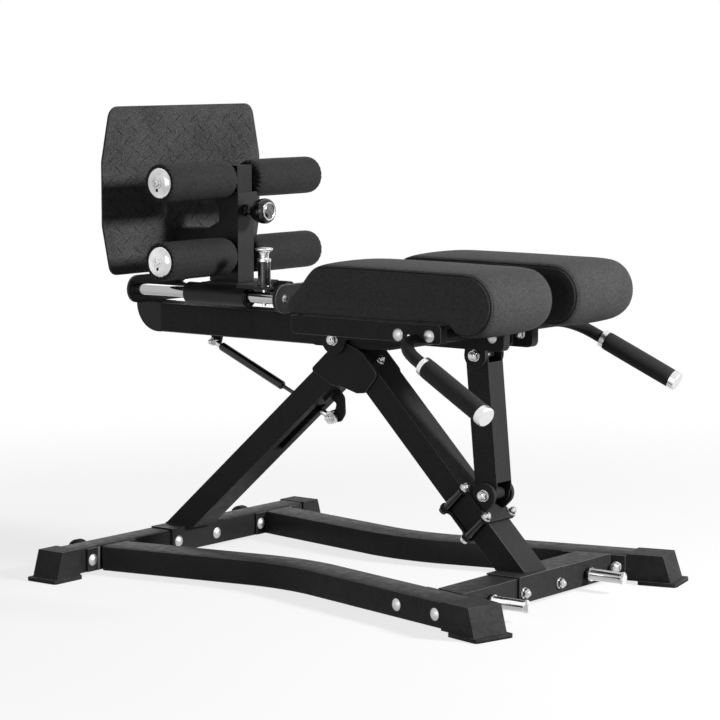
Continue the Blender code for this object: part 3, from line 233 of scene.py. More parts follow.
POWDER = powder_coat("powder_coat", 0.014, 0.031, 0.35)
# A much lighter coat for the softened edges: a painted highlight where the edges catch light.
POWDER_EDGE_HIGHLIGHT = powder_coat("powder_coat_edge_highlight", 0.095, 0.150, 0.20, (0.36, 0.50), specular=0.35)
POWDER_SLICK = powder_coat("powder_coat_slick", 0.009, 0.022, 0.25, (0.34, 0.46), specular=0.22)
POWDER_PLATE = powder_coat("powder_coat_plate", 0.012, 0.076, 0.70, (0.50, 0.66), 480.0)
# The dashes' coat is darker than the plate's: painted shade for the thin shadow along each dash.
POWDER_TREAD_SHADE = powder_coat("powder_coat_tread_shade", 0.009, 0.026, 0.30, (0.50, 0.66), 480.0, 0.05)
# Its lengthwise light and dark bands are partly drawing streaks and partly painted reflection.
BAR_CHROME = bar_with_painted_reflections("chrome_bar", 0.45, 0.96, (0.08, 0.18))
NITRIDED = plated("nitrided_rod", 0.075, (0.16, 0.28), deep=0.6)
ZINC = plated("bright_zinc", 0.66, (0.14, 0.30), 0.25)
DOMES = plated("satin_zinc", 0.56, (0.40, 0.52), 0.15)
DISC = plated("axle_disc", 0.84, (0.10, 0.18), 0.06, deep=0.50, patch=19.0)
SATIN = plated("satin_caps", 0.80, (0.24, 0.36), 0.2)
KNOB_CAP = plated("knob_cap", 0.22, (0.12, 0.22), deep=0.45, patch=90.0)
VINYL_TOP = vinyl("vinyl_grained", 0.022, 0.106, 0.80, 520.0, 0.02)
VINYL_SIDE = vinyl("vinyl_side", 0.024, 0.094, 0.50, 600.0, 0.06)
VINYL_ROLLER = vinyl("vinyl_roller", 0.012, 0.058, 0.60, 560.0, 0.03)
# Near-black thread; also used for the dark cords, dots and teeth that are painted shade.
THREAD_AND_SHADE = moulded("thread", 0.006, 0.011, (0.6, 0.8), 0.5, 0.1)
FOAM = foam_rubber("grip_foam", 0.020, 0.042)
RUBBER = moulded("rubber", 0.018, 0.030, (0.58, 0.75), 0.30, 0.12)
# A much lighter rubber for the feet's softened edges: a painted highlight.
RUBBER_EDGE_HIGHLIGHT = moulded("rubber_edge_highlight", 0.075, 0.110, (0.45, 0.60), 0.20, 0.25)
PLASTIC = moulded("black_plastic", 0.010, 0.017, (0.34, 0.50), 0.12, 0.20)
GLOSS = moulded("gloss_plastic", 0.006, 0.010, (0.12, 0.24), 0.05, 0.45)
BOARD = plywood("pad_board")


# Mesh tools

def piece(name, body, bm, *materials, angle=35.0):
    """A piece of the scene that rides on a CAD body, smooth except across sharp edges."""
    mesh = bpy.data.meshes.new(name)
    bmesh.ops.recalc_face_normals(bm, faces=bm.faces)
    bm.to_mesh(mesh)
    bm.free()
    for material in materials:
        mesh.materials.append(material)
    mesh.shade_smooth()
    mesh.set_sharp_from_angle(angle=math.radians(angle))
    obj = bpy.data.objects.new(name, mesh)
    bpy.context.scene.collection.objects.link(obj)
    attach(obj, body)
    return obj


def span(bm, low, high, material=0):
    """Faces between two closed rows of vertices."""
    for i in range(len(low)):
        j = (i + 1) % len(low)
        bm.faces.new((low[i], low[j], high[j], high[i])).material_index = material


def skin(loops, closed=False, caps=True, bm=None):
    """Faces through loops of points; the last loop meets the first, or else both ends are capped."""
    bm = bm or bmesh.new()
    rows = [[bm.verts.new(point) for point in loop] for loop in loops]
    for low, high in zip(rows, rows[1:] + rows[:1] if closed else rows[1:]):
        span(bm, low, high)
    if caps and not closed:
        for row in (rows[0], rows[-1]):
            bm.faces.new(row)
    return bm


def axes_along(direction):
    axis = Vector(direction).normalized()
    side = axis.orthogonal().normalized()
    return axis, side, axis.cross(side)


def oval(centre, side, other, count):
    """Points round a centre; the two vectors reach from it to the oval."""
    turns = [2 * math.pi * i / count for i in range(count)]
    return [centre + math.cos(turn) * side + math.sin(turn) * other for turn in turns]


def ring(centre, direction, radius, count):
    """Points round a centre; the radius is a length, or a function of the angle."""
    _, side, other = axes_along(direction)
    points = []
    for i in range(count):
        turn = 2 * math.pi * i / count
        reach = radius(turn) if callable(radius) else radius
        points.append(Vector(centre) + reach * (math.cos(turn) * side + math.sin(turn) * other))
    return points


def lathe(profile, start, direction, sides=48, closed=False, bm=None):
    """A turned shape: profile points are (radius, distance along the axis)."""
    axis = Vector(direction).normalized()
    loops = [ring(Vector(start) + axis * reach, direction, radius, sides) for radius, reach in profile]
    return skin(loops, closed, bm=bm)


def arc(centre, radius, start, stop, steps):
    """Points of an arc, angles in degrees."""
    turns = [math.radians(start + (stop - start) * i / steps) for i in range(steps + 1)]
    return [(centre[0] + radius * math.cos(t), centre[1] + radius * math.sin(t)) for t in turns]


# Fasteners

WASHER_T, WASHER_EDGE = 0.0016, 0.0003
THREAD_PITCH, THREAD_DEEP, BOLT_POINT = 0.0012, 0.0005, (0.0011, 0.0009)
SOCKET_R = 0.34  # of the head's radius


def washer(bm, at, normal, radius):
    edge, top = WASHER_EDGE, WASHER_T
    lathe([(radius * 0.5, 0.0), (radius - edge, 0.0), (radius, edge), (radius, top - edge),
           (radius - edge, top), (radius * 0.5, top)], at, normal, 40, bm=bm)


def hexagon(bm, at, normal, flats, height, chamfer=0.0011, turn=0.3):
    """A hexagon with its corners turned down at both ends."""
    half = flats / 2
    corner = half / math.cos(math.pi / 6)

    def rim(limit):
        def reach(angle):
            part = (angle + turn) % (math.pi / 3) - math.pi / 6
            return min(half / math.cos(part), limit)
        return reach

    levels = [(0.0, half * 1.02), (chamfer * 0.5, half * 1.08), (chamfer, corner),
              (height - chamfer, corner), (height - chamfer * 0.5, half * 1.08), (height, half)]
    axis = Vector(normal).normalized()
    loops = [ring(Vector(at) + axis * level, normal, rim(limit), 48) for level, limit in levels]
    loops.append(ring(Vector(at) + axis * height, normal, half * 0.62, 48))
    skin(loops, bm=bm)


def thread_end(bm, at, normal, radius, length):
    """A bolt's end with a few threads."""
    turns = max(2, int(length / THREAD_PITCH))
    profile = []
    for i in range(turns):
        profile += [(radius, i * THREAD_PITCH), (radius - THREAD_DEEP, (i + 0.5) * THREAD_PITCH)]
    top = turns * THREAD_PITCH
    profile += [(radius, top), (radius - BOLT_POINT[0], top + BOLT_POINT[1])]
    lathe(profile, at, normal, 28, bm=bm)


def nut(bm, at, normal, size=0.017, washer_r=0.0106, turn=0.3, end=0.0035):
    """A washer, a lock nut with its nylon collar and the end of the bolt."""
    at, axis = Vector(at), Vector(normal).normalized()
    washer(bm, at, normal, washer_r)
    height = size * 0.42
    seat = at + axis * WASHER_T
    hexagon(bm, seat, normal, size, height, turn=turn)
    lathe([(size * 0.42, -0.0002), (size * 0.42, 0.0012), (size * 0.36, 0.0026), (size * 0.30, 0.0030)],
          seat + axis * height, normal, 36, bm=bm)
    thread_end(bm, seat + axis * (height + 0.002), normal, size * 0.28, end)


def hex_head(bm, at, normal, size=0.017, washer_r=0.0106, turn=0.3):
    """A washer and a hexagon bolt head."""
    at, axis = Vector(at), Vector(normal).normalized()
    washer(bm, at, normal, washer_r)
    hexagon(bm, at + axis * WASHER_T, normal, size, size * 0.38, turn=turn)


def dome(bm, at, normal, radius=0.0118, height=0.0052):
    """A carriage bolt's round head."""
    bulge = (radius * radius + height * height) / (2 * height)
    half = math.degrees(math.asin(radius / bulge))
    profile = [(radius - 0.0002, 0.0)]
    profile += [(r, z + height - bulge + 0.0004) for r, z in arc((0, 0), bulge, 90 - half, 88, 9)]
    lathe(profile, at, normal, bm=bm)


def socket_head(bm, at, normal, radius=0.0065, height=0.0045):
    """A button head with its six-sided socket."""
    axis = Vector(normal).normalized()

    def hollow(angle):
        return radius * SOCKET_R / math.cos(angle % (math.pi / 3) - math.pi / 6)

    profile = [(radius, 0.0), (radius, height * 0.35), (radius * 0.86, height * 0.75),
               (radius * 0.62, height), (radius * 0.42, height), (hollow, height), (hollow, height * 0.3)]
    skin([ring(Vector(at) + axis * z, normal, r, 36) for r, z in profile], bm=bm)


def fasteners(name, body, makes, material=ZINC):
    """One piece of several fasteners on the same body, each as (maker, point, normal, settings)."""
    bm = bmesh.new()
    for maker, at, normal, *settings in makes:
        maker(bm, at, normal, **(settings[0] if settings else {}))
    return piece(name, body, bm, material, angle=30.0)


def paired(name, body, makes, material=ZINC):
    """Fasteners that stand alike on both sides, each as (maker, the far one's place, direction, settings)."""
    fasteners(name, body, [
        (maker, spot(x, side * y, z), Vector((out.x, side * out.y, out.z)), *settings)
        for _, side in SIDES for maker, (x, y, z), out, *settings in makes
    ], material)


# Stage, light and camera

CAMERA_AT = (3.23035, -4.2124, 1.0441)
CAMERA_AZIMUTH, CAMERA_PITCH = 37.449, 6.554
FOCAL_PX, IMAGE_PX, SENSOR = 2703.6, 720, 36.0
AMBIENT = 0.016
FLOOR_HALF, FLOOR_DROP = 40.0, 0.0004
FLOOR_WHITE = 0.90
FLOOR_BOUNCE = 0.32  # the floor's tone for the light that it sends back to the object
SHADOW_SHARE = 0.22  # how much of the floor's own shading shows near the object
SHADOW_FADE = (0.9, 2.6)  # from here to there it fades to none
LIGHTS_AIM = Vector((0.0, 0.0, 0.4))
SOFTBOXES = (  # name, place, size and watts
    ("key_right", (3.6, 0.9, 2.05), (0.6, 0.6), 255.0),
    ("top", (-0.9, 0.2, 3.3), (2.6, 2.4), 7.0),
    ("fill_near", (0.3, -4.0, 1.0), (2.4, 1.4), 33.0),
    ("fill_rear", (-3.4, 2.0, 2.0), (2.2, 2.0), 20.0),
)


def aimed(name, data, at, forward):
    """A camera or light, turned to look forward."""
    obj = bpy.data.objects.new(name, data)
    obj.location = at
    obj.rotation_euler = forward.to_track_quat("-Z", "Y").to_euler()
    bpy.context.scene.collection.objects.link(obj)
    return obj


def camera():
    data = bpy.data.cameras.new("camera")
    data.sensor_width = SENSOR
    data.lens = FOCAL_PX / IMAGE_PX * SENSOR
    data.clip_end = 100.0
    turn, pitch = math.radians(CAMERA_AZIMUTH), math.radians(CAMERA_PITCH)
    level = math.cos(pitch)
    forward = Vector((-math.sin(turn) * level, math.cos(turn) * level, -math.sin(pitch)))
    bpy.context.scene.camera = aimed("camera", data, CAMERA_AT, forward)


def softbox(name, at, size, power):
    data = bpy.data.lights.new(name, "AREA")
    data.shape = "RECTANGLE"
    data.size, data.size_y = size
    data.energy = power
    aimed(name, data, at, LIGHTS_AIM - Vector(at))


def seen_rays(tree):
    """1 for camera, glossy and transmission rays, which see the white background."""
    path = tree.nodes.new("ShaderNodeLightPath").outputs
    total = path["Is Camera Ray"]
    for output in ("Is Glossy Ray", "Is Transmission Ray"):
        total = add_node(tree, "ShaderNodeMath", {0: total, 1: path[output]}, operation="MAXIMUM").outputs[0]
    return total


def mixed_output(tree, kind, share, first, second):
    mix = add_node(tree, "ShaderNodeMixShader", {0: share, 1: first.outputs[0], 2: second.outputs[0]})
    add_node(tree, kind, {"Surface": mix.outputs[0]})


def world():
    """White where it is seen, and dim as a light."""
    made = bpy.data.worlds.new("studio")
    bpy.context.scene.world = made
    made.use_nodes = True
    tree = made.node_tree
    tree.nodes.clear()
    white = (1.0, 1.0, 1.0, 1.0)
    dim, bright = (add_node(tree, "ShaderNodeBackground", {"Color": white, "Strength": strength})
                   for strength in (AMBIENT, 1.0))
    mixed_output(tree, "ShaderNodeOutputWorld", seen_rays(tree), dim, bright)


def lay_floor():
    """White paper that keeps a share of the object's shadow near it, and glows evenly further off."""
    bm = bmesh.new()
    h = FLOOR_HALF
    bm.faces.new([bm.verts.new(p) for p in ((-h, -h, 0), (h, -h, 0), (h, h, 0), (-h, h, 0))])
    mesh = bpy.data.meshes.new("studio_floor")
    bm.to_mesh(mesh)
    bm.free()
    floor = bpy.data.objects.new("studio_floor", mesh)
    floor.location.z = -FLOOR_DROP
    bpy.context.scene.collection.objects.link(floor)
    material = bpy.data.materials.new("studio_floor")
    material.use_nodes = True
    mesh.materials.append(material)
    tree = material.node_tree
    tree.nodes.clear()
    seen = seen_rays(tree)
    ranges = {"Value": seen, "To Min": FLOOR_BOUNCE, "To Max": FLOOR_WHITE}
    tone = add_node(tree, "ShaderNodeMapRange", ranges).outputs["Result"]
    paper = add_node(tree, "ShaderNodeBsdfDiffuse", {"Color": tone})
    place = tree.nodes.new("ShaderNodeTexCoord").outputs["Object"]
    away = add_node(tree, "ShaderNodeVectorMath", {0: place}, operation="LENGTH").outputs["Value"]
    near, far = SHADOW_FADE
    ranges = {"Value": away, "From Min": near, "From Max": far, "To Min": 1.0 - SHADOW_SHARE, "To Max": 1.0}
    fade = add_node(tree, "ShaderNodeMapRange", ranges, interpolation_type="SMOOTHSTEP").outputs["Result"]
    share = add_node(tree, "ShaderNodeMath", {0: seen, 1: fade}, operation="MULTIPLY").outputs[0]
    mixed_output(tree, "ShaderNodeOutputMaterial", share, paper, tree.nodes.new("ShaderNodeEmission"))


def stage():
    world()
    lay_floor()
    for row in SOFTBOXES:
        softbox(*row)
    bpy.context.scene.view_settings.view_transform = "Standard"


# Finishes of the CAD nodes

SHARP_ANGLE, MELD_REACH = 32.0, 0.00001
FLAT_ANGLE, EDGE_ANGLE = 0.6, 40.0


def shading_group():
    """Joins the frame's split corners and keeps only its real edges sharp."""
    group = bpy.data.node_groups.new("smooth_by_angle", "GeometryNodeTree")
    for in_out in ("INPUT", "OUTPUT"):
        group.interface.new_socket("Geometry", in_out=in_out, socket_type="NodeSocketGeometry")
    angle = add_node(group, "GeometryNodeInputMeshEdgeAngle").outputs["Unsigned Angle"]
    over = add_node(group, "FunctionNodeCompare", {"A": angle, "B": math.radians(SHARP_ANGLE)},
                    operation="GREATER_THAN").outputs[0]
    smooth = "GeometryNodeSetShadeSmooth"
    chain = [
        add_node(group, "NodeGroupInput"),
        add_node(group, "GeometryNodeRemoveAttribute", {"Name": "custom_normal"}),
        add_node(group, "GeometryNodeMergeByDistance", {"Distance": MELD_REACH}),
        add_node(group, smooth),
        add_node(group, smooth, domain="EDGE"),
        add_node(group, smooth, {"Selection": over, "Shade Smooth": False}, domain="EDGE"),
        add_node(group, "NodeGroupOutput"),
    ]
    for source, target in zip(chain, chain[1:]):
        group.links.new(source.outputs[0], target.inputs[0])
    return group


SHADING = shading_group()


def modify(obj, name, kind, **settings):
    made = obj.modifiers.new(name, kind)
    for key, value in settings.items():
        setattr(made, key, value)
    return made


def dress(names, material, edge=0.0, segments=2, rim=None):
    """Gives CAD nodes their finish, smooth rounds and, where asked, softened edges, which a rim finish paints
    lighter as a highlight.
    """
    for name in names:
        obj = NODES[name]
        for slot in obj.material_slots:
            slot.material = material
        modify(obj, "rounds", "NODES", node_group=SHADING)
        if edge:
            modify(obj, "flat", "DECIMATE", decimate_type="DISSOLVE", angle_limit=math.radians(FLAT_ANGLE))
            bevel = modify(obj, "edge", "BEVEL", width=edge, segments=segments, limit_method="ANGLE",
                           angle_limit=math.radians(EDGE_ANGLE), use_clamp_overlap=True, harden_normals=True)
            # The rim finish paints the softened edges lighter as a highlight.
            if rim:
                obj.data.materials.append(rim)
                bevel.material = len(obj.data.materials) - 1


def both(*stems):
    return [f"{stem}_{word}" for stem in stems for word, _ in SIDES]


FINISHES = (  # nodes, finish, and where edges are softened their width, segments and finish; that last finish is a lighter coat painted on as a highlight
    (["rear_crossbar", "front_crossbar", "main_beam", *both("side_rail")], POWDER, 0.0009, 2, POWDER_EDGE_HIGHLIGHT),
    (["rear_strut", "front_strut"], POWDER, 0.0014, 3, POWDER_EDGE_HIGHLIGHT),
    (["spring_hook", "cross_member", "inner_post", "link", "clamp_front_plate", "clamp_back_plate",
      *both("gusset", "side_plate", "centre_bar", "wing_rail")], POWDER, 0.0007, 2, POWDER_EDGE_HIGHLIGHT),
    (["rod_front_plate", "foot_carriage"], POWDER_SLICK, 0.0008, 2, POWDER_EDGE_HIGHLIGHT),
    (["handle_tube"], POWDER),
    (["footplate"], POWDER_PLATE, 0.0008),
    (["beam_cap", "rod_rear_bracket"], PLASTIC, 0.0006),
    (["gas_cylinder"], GLOSS),
    (["gas_rod"], NITRIDED),
    (both("guide_rod"), BAR_CHROME),
    (both("grip_collar", "grip_cap"), SATIN),
    (both("rear_foot", "front_foot"), RUBBER, 0.0010, 2, RUBBER_EDGE_HIGHLIGHT),
    (both("pad_board"), BOARD),
)


# Hip pads

PAD_Y = (0.036, 0.246)
PAD_LOW, PAD_TOP = 0.5466, 0.640
PAD_FLAT_Z = PAD_LOW + 0.004  # below this the pad is flat, held and without stitches
PAD_NOSE, PAD_NOSE_R, PAD_NOSE_ARC = (0.398, 0.583), 0.056, (-115, 90, 10)
PAD_UNDER_NOSE = ((0.357, PAD_LOW), (0.372, 0.5340))
PAD_TOP_AND_REAR = (
    (0.340, PAD_TOP), (0.240, PAD_TOP + 0.001), (0.140, PAD_TOP + 0.001), (0.074, PAD_TOP),
    (0.053, 0.6370), (0.037, 0.6270), (0.009, 0.5940), (-0.016, 0.5650), (-0.0175, 0.5540),
    (-0.010, 0.5455), (0.004, PAD_LOW), (0.100, PAD_LOW), (0.230, PAD_LOW),
)
PAD_SPINE = (Vector((0.046, 0.588)), Vector((0.393, 0.586)))
PAD_POINTS, CURVE_STEPS = 150, 24
CROWN, CROWN_FLAT, SIDE_CROWN = 0.0060, 0.4, 0.0042
SEAM_IN, SEAM_DEEP = 0.0045, 0.0024
WRAP_ROWS = 11
SIDE_SHARES = (0.035, 0.08, 0.14, 0.23, 0.36, 0.52, 0.70, 0.88)
PUFF_CAP, PUFF_PRESSURE, PUFF_FRAMES, PUFF_ROUNDS = 0.0016, 5.0, 20, 6
CLOTH = {"quality": 6, "mass": 0.25, "tension_stiffness": 18.0, "compression_stiffness": 18.0,
         "shear_stiffness": 8.0, "bending_stiffness": 1.2, "use_pressure": True,
         "uniform_pressure_force": PUFF_PRESSURE}
STITCH_OFF = 0.0062
STITCH_PITCH, STITCH_LENGTH, STITCH_R, STITCH_FLAT = 0.0056, 0.0038, 0.00075, 0.7
STITCH_SHAPE = (  # shares of its length, width and lift
    (-0.5, 0.25, -0.6), (-0.32, 0.85, 0.25), (0.0, 1.0, 0.5), (0.32, 0.85, 0.25), (0.5, 0.25, -0.6))
SEAM_ROWS = ((0.0, 0.0016), (0.0020, 0.0002), (STITCH_OFF, -0.0010))  # in from a seam, and how far drawn in
# A thin dark cord in each seam's groove: painted shade for the groove's shadow.
SEAM_SHADOW_CORD_R, SEAM_SHADOW_CORD_LIFT = 0.0008, 0.0007


def walk(points, count=0, pitch=0.0):
    """Places on a closed line, so many or so far apart, each with the line's direction there."""
    line = points + points[:1]
    lengths = [0.0]
    for a, b in zip(line, line[1:]):
        lengths.append(lengths[-1] + (b - a).length)
    total, at = lengths[-1], 0
    for number in range(count or int(total / pitch)):
        want = total * number / count if count else number * pitch
        while lengths[at + 1] < want:
            at += 1
        a, b = line[at:at + 2]
        yield a.lerp(b, (want - lengths[at]) / (lengths[at + 1] - lengths[at])), (b - a).normalized()


def pad_outline():
    """Evenly spaced points of a smooth curve through the corners of the pad's side view."""
    corners = [*PAD_UNDER_NOSE, *arc(PAD_NOSE, PAD_NOSE_R, *PAD_NOSE_ARC), *PAD_TOP_AND_REAR]
    corners = [Vector(corner) for corner in corners]
    dense = []
    for i in range(len(corners)):
        p0, p1, p2, p3 = (corners[(i + k - 1) % len(corners)] for k in range(4))
        reach = (p2 - p1).length
        leave, arrive = (p2 - p0).normalized() * reach, (p3 - p1).normalized() * reach
        for step in range(CURVE_STEPS):
            t = step / CURVE_STEPS
            dense.append(p1 * (2 * t**3 - 3 * t**2 + 1) + leave * (t**3 - 2 * t**2 + t)
                         + p2 * (-2 * t**3 + 3 * t**2) + arrive * (t**3 - t**2))
    return [place for place, _ in walk(dense, count=PAD_POINTS)]


def inset(points, amount):
    """The outline moved in by the amount, or out where it is negative, but never below its bottom."""
    out = []
    for i, here in enumerate(points):
        along = points[(i + 1) % len(points)] - points[i - 1]
        normal = Vector((along.y, -along.x)).normalized()
        moved = here - normal * amount
        if here.x < PAD_UNDER_NOSE[0][0] + 0.003 and here.y < PAD_FLAT_Z:
            moved.y = max(moved.y, PAD_LOW + 0.0002)
        out.append(moved)
    return out


def to_spine(point):
    a, b = PAD_SPINE
    part = max(0.0, min(1.0, (point - a).dot(b - a) / (b - a).length_squared))
    return a.lerp(b, part)


def evened(mesh, steps, held):
    """The moves of the free vertices averaged with their neighbours' moves."""
    near = [[] for _ in steps]
    for edge in mesh.edges:
        a, b = edge.vertices
        near[a].append(b)
        near[b].append(a)
    for _ in range(PUFF_ROUNDS):
        steps = [
            Vector() if i in held
            else (step + sum((steps[n] for n in near[i]), Vector())) / (len(near[i]) + 1)
            for i, step in enumerate(steps)
        ]
    return steps


def puff(obj, pinned):
    """Inflates the mesh as cloth, holds the pinned vertices and keeps each move within PUFF_CAP."""
    start = [vertex.co.copy() for vertex in obj.data.vertices]
    group = obj.vertex_groups.new(name="held")
    group.add(sorted(pinned), 1.0, "REPLACE")
    cloth = obj.modifiers.new("cloth", "CLOTH")
    for key, value in CLOTH.items():
        setattr(cloth.settings, key, value)
    cloth.settings.effector_weights.gravity = 0.0
    cloth.settings.vertex_group_mass = group.name
    scene = bpy.context.scene
    for number in range(1, PUFF_FRAMES + 1):
        scene.frame_set(number)
    graph = bpy.context.evaluated_depsgraph_get()
    moved = [vertex.co.copy() for vertex in obj.evaluated_get(graph).data.vertices]
    obj.modifiers.remove(cloth)
    obj.vertex_groups.remove(group)
    steps = []
    for before, after in zip(start, moved):
        step = after - before
        steps.append(step * (PUFF_CAP * math.tanh(step.length / PUFF_CAP) / max(step.length, 1e-9)))
    for vertex, before, step in zip(obj.data.vertices, start, evened(obj.data, steps, pinned)):
        vertex.co = before + step
    scene.frame_set(1)
    obj.data.update()


def subdivide(obj):
    """Applies a subdivision surface, so that the mesh itself is the smooth one."""
    modifier = modify(obj, "smooth", "SUBSURF", levels=1, render_levels=1)
    graph = bpy.context.evaluated_depsgraph_get()
    mesh = bpy.data.meshes.new_from_object(obj.evaluated_get(graph))
    obj.modifiers.remove(modifier)
    old, name = obj.data, obj.data.name
    obj.data = mesh
    bpy.data.meshes.remove(old)
    mesh.name = name


def pad_mesh(side):
    """The pad's wrap panel and its two side panels, sewn along the seam loops."""
    profile = pad_outline()
    inner, outer = PAD_Y[0] + SEAM_IN, PAD_Y[1] - SEAM_IN
    stations = [(inner + y, drawn) for y, drawn in SEAM_ROWS]
    for number in range(1, WRAP_ROWS):
        share = (1.0 - math.cos(math.pi * number / WRAP_ROWS)) / 2
        if min(share, 1.0 - share) * (outer - inner) > STITCH_OFF + 0.002:
            drawn = -CROWN * math.sin(math.pi * share) ** CROWN_FLAT
            stations.append((inner + (outer - inner) * share, drawn))
    stations += [(outer - y, drawn) for y, drawn in reversed(SEAM_ROWS)]
    bm = bmesh.new()
    rows = [[bm.verts.new(spot(p.x, side * y, p.y)) for p in inset(profile, drawn)] for y, drawn in stations]
    for low, high in zip(rows, rows[1:]):
        span(bm, low, high)
    outline = inset(profile, SEAM_ROWS[0][1])
    for before, direction, y_seam in ((rows[0], -1, inner), (rows[-1], 1, outer)):
        for share in SIDE_SHARES:
            bulge = SIDE_CROWN * math.sin(math.pi / 2 * min(1.0, share / 0.5)) ** 0.8
            inward = [point.lerp(to_spine(point), share) for point in outline]
            row = [bm.verts.new(spot(p.x, side * (y_seam + direction * bulge), p.y)) for p in inward]
            span(bm, before, row, 1)
            before = row
        middle = bm.faces.new(before)
        middle.material_index = 1
        bmesh.ops.triangulate(bm, faces=[middle], ngon_method="EAR_CLIP")
    crease = bm.edges.layers.float.new("crease_edge")
    for row in (rows[0], rows[-1]):
        for pair in zip(row, row[1:] + row[:1]):
            bm.edges.get(pair)[crease] = 1.0
    bm.verts.index_update()
    return bm, [[vertex.index for vertex in row] for row in rows]


def pad_outward(here, along):
    """The direction out of the pad's wrap panel at a point of a line along it."""
    normal = along.cross(FAR).normalized()
    flat = Vector((here.x - MID_X, here.z))
    away = flat - to_spine(flat)
    return normal if normal.dot(Vector((away.x, 0.0, away.y))) > 0 else -normal


def stitches(name, line):
    """Short flat thread stitches laid along a line of points on the pad."""
    bm = bmesh.new()
    for here, along in walk(line, pitch=STITCH_PITCH):
        if here.z < PAD_FLAT_Z:
            continue
        normal = pad_outward(here, along)
        across = along.cross(normal) * STITCH_R
        loops = []
        for reach, size, lift in STITCH_SHAPE:
            middle = here + along * (reach * STITCH_LENGTH) + normal * (lift * STITCH_R)
            loops.append(oval(middle, across * size, normal * (STITCH_R * size * STITCH_FLAT), 6))
        skin(loops, bm=bm)
    piece(name, "beam", bm, THREAD_AND_SHADE, angle=80.0)


def seam_shadow_cord(name, line):
    """The dark line of a seam: a thin cord pulled into the groove between two panels, dark as painted shade
    for the groove's shadow.
    """
    line = line[::2]
    loops = []
    for i, here in enumerate(line):
        along = line[(i + 1) % len(line)] - line[i - 1]
        loops.append(oval(here, FAR * SEAM_SHADOW_CORD_R, along.cross(FAR).normalized() * SEAM_SHADOW_CORD_R, 6))
    piece(name, "beam", skin(loops, closed=True), THREAD_AND_SHADE, angle=180.0)


def hip_pad(word, side):
    bm, ids = pad_mesh(side)
    pad = piece(f"hip_pad_{word}_cover", "beam", bm, VINYL_TOP, VINYL_SIDE, angle=180.0)
    points = pad.data.vertices
    puff(pad, {point.index for point in points if point.co.z < PAD_FLAT_Z} | {*ids[0], *ids[-1]})
    normals = {i: points[i].normal.copy() for i in ids[0] + ids[-1]}
    for i, normal in normals.items():
        points[i].co -= normal * SEAM_DEEP
    lines = [[points[i].co.copy() for i in row] for row in (ids[2], ids[-3])]
    seam_shadow_lines = [[points[i].co + normals[i] * SEAM_SHADOW_CORD_LIFT for i in row] for row in (ids[0], ids[-1])]
    subdivide(pad)
    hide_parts(f"hip_pad_{word}")
    for number, (line, seam) in enumerate(zip(lines, seam_shadow_lines), 1):
        stitches(f"hip_pad_{word}_stitches_{number}", line)
        # The seam's dark cord is painted shade.
        seam_shadow_cord(f"hip_pad_{word}_seam_{number}", seam)


# Ankle rollers

ROLLER_R, ROLLER_Y, ROLLER_BORE = 0.038, (0.033, 0.2315), 0.0108
LOWER_AXLE_Z, UPPER_AXLE_Z, POST_X = 0.628, 0.783, -0.3445
ROLLER_SIDES, PLEATS = 176, 22
FOLD_IN, FOLD_ALONG = 0.0008, 0.0026
ROLLER_INNER = (  # radius and distance beyond the inner end in mm, and the pleats' share
    (10.8, 6.0, 0.0), (15.0, 3.0, 0.5), (20.0, 1.6, 1.0), (25.0, 1.2, 1.0), (29.0, 1.2, 1.0),
    (31.8, 1.8, 1.0), (34.0, 3.2, 0.8), (35.6, 5.6, 0.5), (36.8, 9.0, 0.22), (37.5, 14.0, 0.06),
    (37.9, 22.0, 0.0),
)
ROLLER_LIP = (  # the same at the outer end
    (38.3, -23.0, 0.0), (38.3, -13.0, 0.0), (38.1, -6.0, 0.0), (37.6, -1.0, 0.04), (36.7, 2.4, 0.30),
    (35.4, 4.2, 0.8), (33.8, 4.6, 1.0), (32.0, 3.8, 1.0), (30.2, 2.0, 0.9), (26.0, 0.2, 0.5),
    (15.0, -2.2, 0.2), (10.8, -6.0, 0.0),
)


def roller(level, word, side, z):
    """A foam roller in a vinyl sleeve, gathered in pleats into its bore at both ends."""
    a, b = ROLLER_Y
    body = f"{level}_roller_{word}"

    def loop(r, y, pleat=0.0, inward=1.0):
        points = []
        for i in range(ROLLER_SIDES):
            turn = 2 * math.pi * i / ROLLER_SIDES
            wave = abs(math.sin(turn * PLEATS / 2)) ** 0.7
            wander = 0.35 * math.sin(turn * 5 + side) + 0.25 * math.sin(turn * 11 + z * 40)
            fold = pleat * (1.0 - wave) * (1.0 + 0.4 * wander)
            reach = r - FOLD_IN * fold
            points.append(spot(POST_X + reach * math.cos(turn), side * (y + inward * FOLD_ALONG * fold),
                               z + reach * math.sin(turn)))
        return points

    rows = [loop(r / 1000, a + y / 1000, pleat) for r, y, pleat in ROLLER_INNER]
    rows += [loop(ROLLER_R + swell, y) for swell, y in ((0.0003, a + 0.045), (0.0005, (a + b) / 2),
                                                        (0.0003, b - 0.045))]
    rows += [loop(r / 1000, b + y / 1000, pleat, -1.0) for r, y, pleat in ROLLER_LIP]
    bm = skin(rows, caps=False)
    skin([loop(ROLLER_BORE, y) for y in (b - 0.006, a + 0.006)], caps=False, bm=bm)
    bmesh.ops.remove_doubles(bm, verts=bm.verts, dist=MELD_REACH)
    made = piece(f"{body}_sleeve", body, bm, VINYL_ROLLER, angle=60.0)
    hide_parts(body)


AXLE_R, AXLE_END_Y = 0.0100, 0.2388
DISC_R, DISC_SEAT = 0.0303, 0.2338
DISC_RIM = mm((-0.4, 0.0), (0.0, 0.4), (0.0, 1.2), (-0.5, 2.0))  # beyond DISC_R and DISC_SEAT
DISC_DOME = mm((28.0, -1.2), (24.5, 0.6), (20.5, 1.9), (16.5, 2.7), (13.8, 3.1), (12.4, 3.1), (12.0, 2.5),
               (10.0, 2.5))  # beyond the axle's end
LOCK_RING = mm((11.0, 2.0), (11.0, 3.8), (10.5, 4.6), (8.6, 4.6), (8.1, 3.6))
NOTCH = mm((3.1, -0.6), (3.1, 0.4), (2.2, 0.6))
NOTCH_DROP = 0.0140


